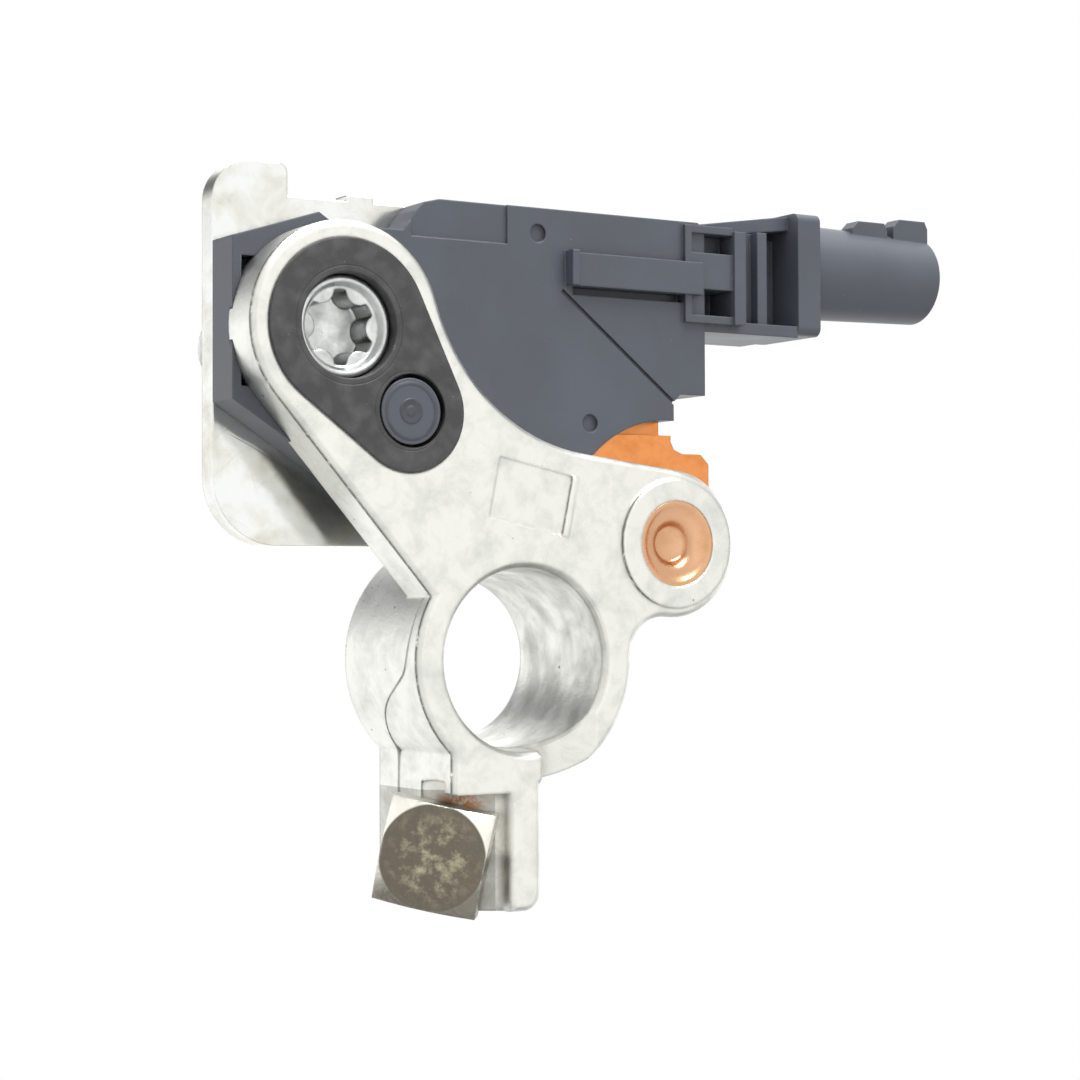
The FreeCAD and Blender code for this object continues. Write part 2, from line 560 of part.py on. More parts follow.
def make_washer():
    washer = cylinder("WasherDisc", "Sizes.washer_radius", "Sizes.washer_thick",
                      Placement(on_bolt(washer_height()), BOLT_TURN))
    hole = cylinder("WasherHole", "Sizes.bolt_radius + Sizes.bolt_hole_gap", "Sizes.washer_thick",
                    Placement(on_bolt(washer_height()), BOLT_TURN))
    washer = cut("Washer", washer, hole)
    washer = bevel("WasherBevelled", washer, s.washer_thick * 0.3,
                   lambda edge: edge.Curve.TypeId == "Part::GeomCircle"
                   and edge.Curve.Radius > s.washer_radius - 0.1
                   and (edge.CenterOfMass - on_bolt(washer_height())).Length > s.washer_thick / 2)
    washer.Label = "clamp_washer"
    return washer


def make_nut():
    """Hexagon nut with both faces turned down at the corners."""
    base = washer_height() + s.washer_thick
    prism = doc.addObject("Part::Prism", "NutPrism")
    prism.Polygon = 6
    bind(prism, Circumradius="Sizes.nut_flats / sqrt(3)", Height="Sizes.nut_thick")
    prism.Placement = Placement(on_bolt(base), BOLT_TURN)
    corner = s.nut_flats / math.sqrt(3)
    turned_down = doc.addObject("Part::Cone", "NutCorners")
    turned_down.Radius1 = corner * 1.02 + s.nut_thick * 1.6
    turned_down.Radius2 = s.nut_flats / 2 * 0.97
    turned_down.Height = s.nut_thick
    turned_down.Placement = Placement(on_bolt(base), BOLT_TURN)
    hexagon = doc.addObject("Part::Common", "NutBlank")
    hexagon.Base = prism
    hexagon.Tool = turned_down
    hole = cylinder("NutHole", "Sizes.bolt_radius + Sizes.nut_bore_gap", "Sizes.nut_thick",
                    Placement(on_bolt(base), BOLT_TURN))
    nut = cut("Nut", hexagon, hole)
    nut.Label = "clamp_nut"
    return nut


def make_insert():
    """The black insulator that keeps the ground stud clear of the clamp."""
    place = Placement(Vector(0, 0, -s.insert_proud), Rotation())
    insert = extrude("InsertBlank", egg("InsertOutline", 0.0, place),
                     "Sizes.plate_thick + Sizes.insert_proud")
    groove = upright(cylinder("StudGroove", "Sizes.stud_head_radius + Sizes.stud_head_gap",
                              "Sizes.plate_thick / 2"),
                     "Sizes.stud_x", "Sizes.stud_y", "-Sizes.insert_proud")
    stud_hole = upright(cylinder("InsertStudHole", "Sizes.stud_head_radius",
                                 "Sizes.plate_thick + Sizes.insert_proud"),
                        "Sizes.stud_x", "Sizes.stud_y", "-Sizes.insert_proud")
    peg_groove = upright(cylinder("PegGroove", "Sizes.peg_radius + Sizes.peg_gap",
                                  "Sizes.plate_thick / 2"),
                         "Sizes.peg_x", "Sizes.peg_y", "-Sizes.insert_proud")
    peg_hole = upright(cylinder("InsertPegHole", "Sizes.peg_radius",
                                "Sizes.plate_thick + Sizes.insert_proud"),
                       "Sizes.peg_x", "Sizes.peg_y", "-Sizes.insert_proud")
    insert = cut("Insert", insert, groove, stud_hole, peg_groove, peg_hole)
    insert.Label = "insulating_insert"
    return insert


def lobed(name, z):
    """The six-lobed outline: round lobes joined by round teeth that point inwards."""
    reach = s.lobe_radius - s.lobe_round
    half = math.cos(math.radians(30))
    tooth = (reach ** 2 + s.lobe_inner ** 2 - 2 * reach * s.lobe_inner * half - s.lobe_round ** 2) / (
        2 * (s.lobe_round + reach * half - s.lobe_inner))
    middle = Vector(s.stud_x, s.stud_y)
    lobes = [middle + turned(Vector(reach, 0), math.radians(60 * i + 30)) for i in range(6)]
    teeth = [middle + turned(Vector(s.lobe_inner + tooth, 0), math.radians(60 * i + 60)) for i in range(6)]
    sketch = doc.addObject("Sketcher::SketchObject", name)
    sketch.Placement = Placement(Vector(0, 0, z), Rotation())
    share = s.lobe_round / (s.lobe_round + tooth)
    for i in range(6):
        start = lobes[i] + (teeth[i - 1] - lobes[i]) * share
        end = lobes[i] + (teeth[i] - lobes[i]) * share
        beyond = lobes[(i + 1) % 6] + (teeth[i] - lobes[(i + 1) % 6]) * share
        sketch.addGeometry(arc_through(lobes[i], s.lobe_round, start, end))
        sketch.addGeometry(arc_through(teeth[i], tooth, beyond, end))
    for i in range(6):
        sketch.addConstraint(Sketcher.Constraint("Coincident", 2 * i, 2, 2 * i + 1, 2))
        sketch.addConstraint(Sketcher.Constraint("Coincident", 2 * i + 1, 1, (2 * i + 2) % 12, 1))
    return sketch


def make_stud():
    """Turned stud: six-lobed driving end, collar under the ground plate, long threaded end."""
    body = doc.addObject("PartDesign::Body", "GroundStud")
    body.Placement = Placement(Vector(s.stud_x, s.stud_y, 0), Rotation())
    plane = next(f for f in body.Origin.OriginFeatures if f.Role == "XZ_Plane")
    sketch = body.newObject("Sketcher::SketchObject", "StudProfile")
    sketch.AttachmentSupport = [(plane, "")]
    sketch.MapMode = "FlatFace"
    low = -s.insert_proud - s.stud_head_rise
    bevelled = s.stud_radius * 0.2
    points = [
        (0, low + s.dish_depth), (s.dish_floor, low + s.dish_depth), (s.dish_radius, low),
        (s.stud_head_radius - s.stud_head_edge, low), (s.stud_head_radius, low + s.stud_head_edge),
        (s.stud_head_radius, s.plate_thick), (s.stud_collar_radius, s.plate_thick),
        (s.stud_collar_radius, s.ground_z - s.shunt_thick),
        (s.stud_knurl_radius, s.ground_z - s.shunt_thick),
        (s.stud_knurl_radius, s.ground_z + s.ground_thick),
        (s.stud_radius, s.ground_z + s.ground_thick),
        (s.stud_radius, s.stud_tip_z - bevelled), (s.stud_radius - bevelled, s.stud_tip_z),
        (0, s.stud_tip_z),
    ]
    for start, end in zip(points, points[1:] + points[:1]):
        sketch.addGeometry(Part.LineSegment(Vector(*start, 0), Vector(*end, 0)))
    for side in range(len(points)):
        sketch.addConstraint(Sketcher.Constraint(
            "Coincident", side, 2, (side + 1) % len(points), 1))
    turning = body.newObject("PartDesign::Revolution", "StudTurned")
    turning.Profile = sketch
    turning.ReferenceAxis = (sketch, ["V_Axis"])
    turning.Angle = 360
    doc.recompute()
    socket = extrude("Socket", lobed("SocketOutline", low), "Sizes.lobe_depth")
    stud = cut("StudSocket", body, socket)
    stud.Label = "ground_stud"
    return stud


def make_ground_plate():
    """Folded-edge sheet with a tab; the ground cable's lug lands on its top side."""
    high, low = s.ground_high_y, s.ground_low_y
    outer, inner = s.ground_outer_x, s.ground_inner_x
    tab, top = outer - s.tab_width, high + s.tab_rise
    points = [(inner, low), (outer, low), (outer, top), (tab, top), (tab, high), (inner, high)]
    plate = extrude("GroundBlank", polygon(
        "GroundOutline", points, Placement(Vector(0, 0, s.ground_z), Rotation())), "Sizes.ground_thick")
    for name, x, y, radius in (("GroundLowCorner", outer, low, s.ground_corner),
                               ("GroundTabOuter", outer, top, s.tab_corner),
                               ("GroundTabInner", tab, top, s.tab_small)):
        plate = bevel(name, plate, radius,
                      lambda edge: (edge.CenterOfMass - Vector(x, y, edge.CenterOfMass.z)).Length < 0.01,
                      "Part::Fillet")
    nub = block("GroundNub", "Sizes.nub_x", "Sizes.nub_x + Sizes.nub_width", "Sizes.ground_high_y - 1",
                "Sizes.ground_high_y + Sizes.nub_rise", "Sizes.ground_z",
                "Sizes.ground_z + Sizes.ground_thick")
    plate = fuse("GroundWithNub", plate, nub)
    hole = upright(cylinder("GroundStudHole", "Sizes.stud_knurl_radius", "Sizes.ground_thick"),
                   "Sizes.stud_x", "Sizes.stud_y", "Sizes.ground_z")
    plate = cut("GroundPlate", plate, hole)
    plate.Label = "ground_plate"
    return plate


STRIP_LOW = "Sizes.ground_z - Sizes.shunt_thick"


def make_battery_end(name="battery_end"):
    """Copper tongue: flat behind the lug, then a step up to the level of the strip."""
    outer, neck, inner = s.tongue_outer_x, s.tongue_neck_x, s.tongue_inner_x
    shoulder, corner = s.tongue_shoulder_y, s.tongue_corner
    outline = polygon(name + "Outline", [
        (inner, s.lug_y), (inner, s.tongue_rise_y), (neck, s.tongue_rise_y),
        (neck, shoulder + corner * 1.2), (neck - corner * 0.4, shoulder + corner * 0.4),
        (neck - corner * 1.4, shoulder), (outer + corner, shoulder), (outer, shoulder - corner),
        (outer, s.lug_y + s.lug_radius / 2), (s.lug_x - s.lug_radius * 0.9, s.lug_y),
    ], Placement(Vector(0, 0, s.plate_thick), Rotation()))
    tongue = extrude(name + "Tongue", outline, "Sizes.shunt_thick")
    behind = upright(cylinder(name + "Round", "Sizes.lug_radius * 0.92", "Sizes.shunt_thick"),
                     "Sizes.lug_x", "Sizes.lug_y", "Sizes.plate_thick")
    riser = block(name + "Riser", "Sizes.tongue_neck_x", "Sizes.tongue_inner_x",
                  "Sizes.tongue_rise_y - Sizes.shunt_thick", "Sizes.tongue_rise_y",
                  "Sizes.plate_thick", "Sizes.ground_z")
    neck_up = block(name + "Neck", "Sizes.tongue_neck_x", "Sizes.tongue_inner_x",
                    "Sizes.tongue_rise_y - Sizes.shunt_thick", "Sizes.strip_high_y",
                    STRIP_LOW, "Sizes.ground_z")
    strip = block(name + "Strip", "Sizes.tongue_inner_x", "Sizes.strip_a_x",
                  "Sizes.strip_low_y", "Sizes.strip_high_y", STRIP_LOW, "Sizes.ground_z")
    return fuse(name + "Solid", behind, tongue, riser, neck_up, strip)


def make_shunt():
    battery_end = make_battery_end()
    hole = upright(cylinder("BatteryEndHole", "Sizes.rivet_radius", "Sizes.shunt_thick"),
                   "Sizes.lug_x", "Sizes.lug_y", "Sizes.plate_thick")
    battery_end = cut("BatteryEnd", battery_end, hole)
    battery_end.Label = "shunt_battery_end"
    strip = block("Strip", "Sizes.strip_a_x", "Sizes.strip_b_x", "Sizes.strip_low_y + 1",
                  "Sizes.strip_high_y - 1", STRIP_LOW, "Sizes.ground_z")
    strip.Label = "shunt_resistance_strip"
    ground_end = fuse(
        "GroundEndBlank",
        block("GroundEndStrip", "Sizes.strip_b_x", "Sizes.stud_x", "Sizes.strip_low_y",
              "Sizes.strip_high_y", STRIP_LOW, "Sizes.ground_z"),
        upright(cylinder("GroundEndRound", "Sizes.eye_radius - 1.4", "Sizes.shunt_thick"),
                "Sizes.stud_x", "Sizes.stud_y", STRIP_LOW))
    ground_end = cut("GroundEnd", ground_end, upright(
        cylinder("GroundEndHole", "Sizes.stud_knurl_radius", "Sizes.shunt_thick"),
        "Sizes.stud_x", "Sizes.stud_y", STRIP_LOW))
    ground_end.Label = "shunt_ground_end"
    return battery_end, strip, ground_end


def make_rivet():
    """Copper rivet: cupped head in the lug, closing head behind the tongue."""
    low = -s.lug_rim_height
    barrel = upright(cylinder("RivetBarrel", "Sizes.rivet_radius",
                              "Sizes.plate_thick + Sizes.lug_rim_height + Sizes.shunt_thick"),
                     "Sizes.lug_x", "Sizes.lug_y", "-Sizes.lug_rim_height")
    foot = upright(cylinder("RivetFoot", "Sizes.rivet_foot_radius", "Sizes.rivet_foot"),
                   "Sizes.lug_x", "Sizes.lug_y", "Sizes.plate_thick + Sizes.shunt_thick")
    rim = doc.addObject("Part::Cone", "RivetRim")
    bind(rim, Radius1="Sizes.rivet_lip", Radius2="Sizes.rivet_mouth", Height="Sizes.rivet_slope")
    rim.Placement = Placement(Vector(s.lug_x, s.lug_y, low), Rotation())
    cup = doc.addObject("Part::Cone", "RivetCup")
    bind(cup, Radius1="Sizes.rivet_mouth", Radius2="Sizes.rivet_cup",
         Height="Sizes.rivet_depth - Sizes.rivet_slope")
    cup.Placement = Placement(Vector(s.lug_x, s.lug_y, low + s.rivet_slope), Rotation())
    rivet = cut("Rivet", fuse("RivetBlank", barrel, foot), rim, cup)
    rivet.Label = "lug_rivet"
    return rivet


def housing_outline():
    """The housing's flat front part: spacer, long upper side, notch and curved lip."""
    outer, right, top, low = s.ground_outer_x, s.housing_right_x, s.housing_top_y, s.housing_low_y
    small = s.housing_corner
    lip_end = Vector(s.notch_x, s.notch_y)
    lip_start = Vector(s.lip_x, s.lip_y)
    centre = meeting(lip_start, s.lip_radius, lip_end, s.lip_radius)
    corners = [
        (s.notch_x, s.notch_y), (s.notch_x, low - small), (s.notch_x - small, low),
        (right, low), (right, top - small), (right + small, top),
        (s.top_step_x - 4 * small, top), (s.top_step_x - 2 * small, top - small / 2),
        (s.top_step_x - small, top - 1.5 * small), (s.top_step_x, s.spacer_top_y),
        (s.top_step_x + small, s.spacer_dip_y), (s.spacer_rise_x - 2 * small, s.spacer_dip_y),
        (s.spacer_rise_x, s.spacer_top_y),
        (outer, s.spacer_high_y), (outer, s.spacer_low_y), (s.tuck_x, s.tuck_y),
        (s.lip_x, s.lip_y),
    ]
    sketch = polygon("HousingSlabOutline", corners,
                     Placement(Vector(0, 0, s.housing_face_z), Rotation()), closed=False)
    sketch.addGeometry(arc_through(centre, s.lip_radius, lip_start, lip_end))
    lip = len(corners) - 1
    sketch.addConstraint(Sketcher.Constraint("Coincident", lip - 1, 2, lip, 1))
    sketch.addConstraint(Sketcher.Constraint("Coincident", lip, 2, 0, 1))
    return sketch


def shroud_key(name, start, top):
    """A key on the connector's shroud: a rib with sloped ends."""
    length, slope = s.key_length, s.key_length / 6
    outline = polygon(name + "Outline", [
        (start, s.socket_y), (start, top - slope), (start - slope, top),
        (start - length + slope / 2, top), (start - length, top - slope), (start - length, s.socket_y),
    ], Placement(Vector(0, 0, s.key_low_z), Rotation()))
    return extrude(name, outline, "Sizes.key_high_z - Sizes.key_low_z")


def connector_walls():
    """The connector block: flange, walls, gap, two ribs and the raised frame with its pockets."""
    flange_x = "Sizes.socket_start_x + Sizes.flange_thick"
    back = "Sizes.housing_back_z"
    flange = block("ConnectorFlange", "Sizes.socket_start_x", flange_x, "Sizes.flange_low_y",
                   "Sizes.flange_high_y", "Sizes.housing_face_z", "Sizes.housing_back_z + 0.4")
    flange = bevel("FlangeRounded", flange, s.flange_corner,
                   lambda edge: abs(edge.Length - s.flange_thick) < 0.01, "Part::Fillet")
    core = block("ConnectorCore", flange_x, "Sizes.housing_right_x",
                 "Sizes.block_low_y + Sizes.block_wall / 2", "Sizes.frame_high_y",
                 "Sizes.block_core_z", back)
    low_wall = block("ConnectorLowWall", flange_x, "Sizes.housing_right_x", "Sizes.block_low_y",
                     "Sizes.block_low_y + Sizes.block_wall", "Sizes.block_low_z", back)
    start, end = s.frame_start_x, s.socket_start_x + s.flange_thick
    high, fall = s.flange_high_y, s.flange_high_y - s.frame_high_y
    top_wall = extrude("ConnectorTopWall", polygon("ConnectorTopOutline", [
        (start, high - fall), (end, high - s.block_wall / 6), (end, high - s.block_wall * 1.4),
        (start, high - fall - s.block_wall),
    ], Placement(Vector(0, 0, s.block_top_z), Rotation())), "Sizes.housing_back_z - Sizes.block_top_z")
    low = "Sizes.block_low_y + Sizes.frame_side"
    frame = block("PocketFrame", "Sizes.frame_end_x", "Sizes.frame_start_x", low,
                  "Sizes.frame_high_y", "Sizes.frame_z", "Sizes.block_core_z")
    inner = ("Sizes.frame_end_x", "Sizes.frame_start_x - Sizes.frame_side")
    pockets = [
        block("UpperPocket", *inner, "Sizes.frame_high_y - Sizes.frame_side - Sizes.upper_pocket",
              "Sizes.frame_high_y - Sizes.frame_side", "Sizes.frame_z - 1", "Sizes.floor_z"),
        block("LowerPocket", *inner, low + " + Sizes.frame_side",
              low + " + Sizes.frame_side + Sizes.lower_pocket", "Sizes.frame_z - 1",
              "Sizes.block_core_z - 1"),
    ]
    frame = cut("PocketFrameCut", frame, *pockets)
    rib = block("FirstRib", "Sizes.rib_x", "Sizes.frame_end_x", low,
                "Sizes.frame_high_y - Sizes.frame_side / 2", "Sizes.frame_z - Sizes.rib_rise",
                "Sizes.block_core_z")
    floor = block("RibFloor", "Sizes.second_rib_x", "Sizes.rib_x", low, "Sizes.frame_high_y",
                  "Sizes.floor_z", "Sizes.block_core_z")
    second = block("SecondRib", "Sizes.second_rib_x - Sizes.second_rib", "Sizes.second_rib_x", low,
                   "Sizes.frame_high_y", "Sizes.block_low_z + Sizes.rib_rise", "Sizes.block_core_z")
    return [flange, core, low_wall, top_wall, frame, rib, floor, second]


def make_housing_base():
    """Moulded housing: slab behind the eye, deep tub behind the arm, connector with its shroud."""
    slab = extrude("HousingSlab", housing_outline(), "Sizes.ground_z - Sizes.housing_face_z")
    tub = block("HousingTub", "Sizes.housing_right_x", "Sizes.housing_left_x",
                "Sizes.housing_low_y", "Sizes.housing_top_y - 1", "Sizes.plate_thick",
                "Sizes.housing_back_z - Sizes.cover_thick")
    turn = Rotation(Vector(0, 1, 0), -90)
    shroud = doc.addObject("Part::Cone", "Shroud")
    bind(shroud, Radius1="Sizes.socket_radius", Height="Sizes.socket_start_x - Sizes.socket_end_x",
         Radius2="Sizes.socket_radius - Sizes.socket_taper * (Sizes.socket_start_x - Sizes.socket_end_x)")
    shroud.Placement = Placement(Vector(s.socket_start_x, s.socket_y, s.socket_z), turn)
    keys = [shroud_key("FirstKey", s.key_first_x, s.key_first_top),
            shroud_key("SecondKey", s.key_second_x, s.key_second_top)]
    rail = block("Rail", "Sizes.housing_right_x + Sizes.frame_side", "Sizes.rail_start_x",
                 "Sizes.rail_low_y", "Sizes.rail_high_y", "Sizes.housing_face_z - Sizes.rail_rise",
                 "Sizes.housing_face_z")
    rail_end = block("RailEnd", "Sizes.rail_start_x", "Sizes.rail_start_x + Sizes.frame_side",
                     "Sizes.rail_low_y", "Sizes.rail_high_y + Sizes.frame_side / 4",
                     "Sizes.housing_face_z - Sizes.rail_rise * 1.4", "Sizes.housing_face_z")
    solid = fuse("HousingBlank", slab, tub, *connector_walls(), shroud, *keys, rail, rail_end)

    well = cylinder("ShroudWell", "Sizes.socket_radius - Sizes.socket_wall", "Sizes.socket_depth")
    well.Placement = Placement(Vector(s.socket_end_x + s.socket_depth, s.socket_y, s.socket_z), turn)
    slot = block("RailSlot", "Sizes.frame_start_x", "Sizes.rail_start_x",
                 "Sizes.rail_low_y - Sizes.rail_slot", "Sizes.rail_low_y",
                 "Sizes.housing_face_z - Sizes.rail_rise", "Sizes.housing_face_z + Sizes.rail_rise")
    recess = block("SpacerRecess", "Sizes.spacer_rise_x", "Sizes.recess_x", "Sizes.recess_low_y",
                   "Sizes.recess_high_y", "Sizes.housing_face_z - 1",
                   "Sizes.housing_face_z + Sizes.recess_depth")
    ledge = block("Ledge", "Sizes.ledge_end_x", "Sizes.top_step_x", "Sizes.ledge_y",
                  "Sizes.housing_top_y + 1", "Sizes.housing_face_z - 1",
                  "Sizes.housing_face_z + Sizes.crease_depth")
    crease = doc.addObject("Part::Box", "Crease")
    bind(crease, Length="Sizes.crease_length", Width="Sizes.crease_depth * 1.3",
         Height="Sizes.crease_depth * 2")
    crease.Placement = Placement(
        Vector(s.crease_x, s.crease_y, s.housing_face_z - s.crease_depth),
        Rotation(UP, s.crease_turn - 180))
    cover_room = block("CoverRoom", "Sizes.housing_right_x", "Sizes.housing_left_x",
                       "Sizes.housing_low_y", "Sizes.housing_top_y - 1",
                       "Sizes.housing_back_z - Sizes.cover_thick", "Sizes.housing_back_z + 1")
    marks = [upright(cylinder("EjectorMark" + letter, "Sizes.dimple_radius",
                              "Sizes.dimple_depth * 2"), f"Sizes.dimple_{letter}_x",
                     f"Sizes.dimple_{letter}_y", "Sizes.housing_face_z - Sizes.dimple_depth")
             for letter in ("a", "b")]
    cavity = block("TubCavity", "Sizes.housing_right_x + Sizes.housing_wall",
                   "Sizes.housing_left_x - Sizes.housing_wall",
                   "Sizes.housing_low_y + Sizes.housing_wall",
                   "Sizes.housing_top_y - 1 - Sizes.housing_wall", "Sizes.ground_z",
                   "Sizes.housing_back_z")
    tongue_room = make_battery_end("tongue_room")
    strip_room = block("StripRoom", "Sizes.strip_a_x", "Sizes.stud_x", "Sizes.strip_low_y",
                       "Sizes.strip_high_y", STRIP_LOW, "Sizes.ground_z")
    end_room = upright(cylinder("EndRoom", "Sizes.eye_radius - 1.4", "Sizes.shunt_thick"),
                       "Sizes.stud_x", "Sizes.stud_y", STRIP_LOW)
    collar_room = upright(cylinder("CollarRoom", "Sizes.stud_collar_radius",
                                   "Sizes.ground_z - Sizes.plate_thick"),
                          "Sizes.stud_x", "Sizes.stud_y", "Sizes.plate_thick")
    rivet_room = upright(cylinder("RivetRoom", "Sizes.rivet_foot_radius + Sizes.room_gap",
                                  "Sizes.rivet_foot + Sizes.shunt_thick"),
                         "Sizes.lug_x", "Sizes.lug_y", "Sizes.plate_thick + Sizes.shunt_thick")
    arm_room = extrude("ArmRoom", clamp_outline("ArmRoomOutline"), "Sizes.plate_thick")
    pin_rooms = [pin_block(f"PinRoom{i}", i) for i in (1, 2)]
    peg = upright(cylinder("Peg", "Sizes.peg_radius",
                           "Sizes.plate_thick + Sizes.insert_proud + Sizes.peg_rise + 1"),
                  "Sizes.peg_x", "Sizes.peg_y", "-Sizes.insert_proud - Sizes.peg_rise")
    solid = cut("HousingCut", solid, well, cavity, tongue_room, strip_room, end_room, collar_room,
                rivet_room, arm_room, slot, recess, ledge, crease, cover_room, *marks,
                *pin_rooms)
    solid = fuse("HousingWithPeg", solid, peg)
    solid.Label = "housing_base"
    return solid


def pin_block(name, index):
    """One connector pin: a square blade from the board's edge into the shroud."""
    offset = f"(Sizes.pin_pitch * {index - 1.5})"
    inner = "Sizes.housing_right_x + Sizes.housing_wall + 3"
    return block(name, "Sizes.socket_end_x + Sizes.socket_depth - Sizes.pin_reach", inner,
                 f"Sizes.socket_y + {offset} - Sizes.pin_width / 2",
                 f"Sizes.socket_y + {offset} + Sizes.pin_width / 2",
                 "Sizes.board_z - Sizes.pin_width", "Sizes.board_z")


def make_cover():
    cover = block("Cover", "Sizes.housing_right_x", "Sizes.housing_left_x", "Sizes.housing_low_y",
                  "Sizes.housing_top_y - 1", "Sizes.housing_back_z - Sizes.cover_thick",
                  "Sizes.housing_back_z")
    cover.Label = "housing_cover"
    return cover


def make_board():
    margin = "(Sizes.housing_wall + Sizes.board_margin)"
    board = block("Board", f"Sizes.housing_right_x + {margin}", f"Sizes.housing_left_x - {margin}",
                  f"Sizes.housing_low_y + {margin}", f"Sizes.housing_top_y - 1 - {margin}",
                  "Sizes.board_z", "Sizes.board_z + Sizes.board_thick")
    board.Label = "circuit_board"
    top = "Sizes.board_z + Sizes.board_thick"
    parts = [board]
    for label, x, y, length, width, height in (
        ("sensor_chip", -14.0, 31.0, 7.0, 5.0, 1.0),
        ("supply_capacitor", -20.5, 39.0, 3.2, 1.6, 1.2),
        ("filter_capacitor", -14.5, 39.5, 2.0, 1.25, 0.8),
        ("line_filter", -19.5, 32.0, 2.5, 3.2, 1.1),
    ):
        item = block(label, f"{x}", f"{x + length}", f"{y}", f"{y + width}", top, f"{top} + {height}")
        item.Label = label
        parts.append(item)
    for index, x in ((1, s.strip_a_x - 1.2), (2, s.strip_b_x + 0.4)):
        post = block(f"SensePost{index}", f"{x}", f"{x} + 0.8", "Sizes.strip_low_y + 4.6",
                     "Sizes.strip_low_y + 5.4", "Sizes.ground_z", "Sizes.board_z")
        post.Label = f"sense_post_{index}"
        parts.append(post)
    return parts


def make_pins():
    pins = []
    for index in (1, 2):
        pin = pin_block(f"Pin{index}", index)
        pin.Label = f"connector_pin_{index}"
        pins.append(pin)
    return pins


pieces = [
    make_clamp_body(), make_clamp_bolt(), make_washer(), make_nut(), make_insert(), make_stud(),
    make_ground_plate(), *make_shunt(), make_rivet(), make_housing_base(), make_cover(),
    *make_board(), *make_pins(),
]
doc.recompute()

for item in doc.Objects:
    if "Invalid" in item.State or "Error" in item.State:
        raise RuntimeError(f"{item.Name} ({item.Label}) failed: {item.State}")
os.makedirs("parts", exist_ok=True)
for piece in pieces:
    shape = piece.Shape
    if shape.isNull() or not shape.isValid():
        raise RuntimeError(f"{piece.Label} is not a valid solid")
    shape.exportStep(f"parts/{piece.Label}.step")
    print(f"{piece.Label:24s} solids {len(shape.Solids)} volume {shape.Volume:9.2f}")
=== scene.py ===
"""Looks of the battery cable clamp: finishes on the frame's parts, cut threads, stage and camera."""
import json
import math

import bmesh
import bpy
from bpy.props import FloatProperty, FloatVectorProperty, IntProperty, PointerProperty
from mathutils import Matrix, Quaternion, Vector

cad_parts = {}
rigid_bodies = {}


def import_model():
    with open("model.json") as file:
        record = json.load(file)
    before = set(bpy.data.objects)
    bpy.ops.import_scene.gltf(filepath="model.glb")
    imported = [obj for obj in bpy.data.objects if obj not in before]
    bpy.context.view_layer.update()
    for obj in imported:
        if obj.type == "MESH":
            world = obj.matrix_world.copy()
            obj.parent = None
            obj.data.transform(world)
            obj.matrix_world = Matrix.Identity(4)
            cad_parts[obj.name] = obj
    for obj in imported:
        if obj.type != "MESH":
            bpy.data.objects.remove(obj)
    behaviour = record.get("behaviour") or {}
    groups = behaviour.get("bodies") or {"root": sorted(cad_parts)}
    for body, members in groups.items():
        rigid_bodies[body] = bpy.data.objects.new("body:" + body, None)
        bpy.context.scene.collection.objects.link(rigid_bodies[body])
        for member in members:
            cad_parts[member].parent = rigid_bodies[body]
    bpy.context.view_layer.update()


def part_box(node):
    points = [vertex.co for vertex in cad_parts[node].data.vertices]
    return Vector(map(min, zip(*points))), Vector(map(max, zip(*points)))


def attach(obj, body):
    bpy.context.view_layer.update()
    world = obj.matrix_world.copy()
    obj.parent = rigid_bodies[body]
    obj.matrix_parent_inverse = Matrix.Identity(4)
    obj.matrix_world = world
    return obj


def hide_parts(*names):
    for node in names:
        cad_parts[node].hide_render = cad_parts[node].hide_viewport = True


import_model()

bl_info = {
    "name": "Battery cable clamp",
    "version": (1, 0, 0),
    "blender": (4, 5, 0),
    "location": "3D View > Sidebar > Clamp",
    "description": "Dresses the packed battery cable clamp and sets its studio",
    "category": "Object",
}

MM = 0.001

TILT = math.radians(36.0)
ALONG_BOLT = Vector((-math.sin(TILT), 0.0, math.cos(TILT)))
# The pocket floor on the bolt's axis, as in the frame.
SEAT = Vector((1.9 + 6.3 * math.cos(TILT), -18.5, 1.6 + 6.3 * math.sin(TILT))) * MM
# Where rust from the bolt has stained the casting, in millimetres, and how narrow the stain is each way.
RUST_SPOT = (6.4, -13.6, 2.4)
RUST_SPREAD = (0.55, 1.3, 0.55)
# The pocket's low lip stands at this X, in millimetres.
LIP_X = 1.9
# The bolt's ear lies below this Y, in millimetres.
EAR_Y = -12.4
# Radii in millimetres that take in the bore's wall, and the wall with its rim.
BORE_REACH = 9.15
RIM_REACH = 10.4
# The centre of the housing's peg, in millimetres.
PEG = (12.8, 23.3)


def linear(code):
    """An sRGB hex colour as linear red, green and blue."""
    parts = [int(code[i:i + 2], 16) / 255 for i in (1, 3, 5)]
    return tuple(c / 12.92 if c <= 0.04045 else ((c + 0.055) / 1.055) ** 2.4 for c in parts)


def colour(label, meaning, code):
    return FloatVectorProperty(name=label, description=meaning, subtype="COLOR", size=3,
                               min=0.0, max=1.0, default=linear(code))


def length(label, meaning, value):
    return FloatProperty(name=label, description=meaning, subtype="DISTANCE", unit="LENGTH",
                         default=value, min=0.0, precision=5)


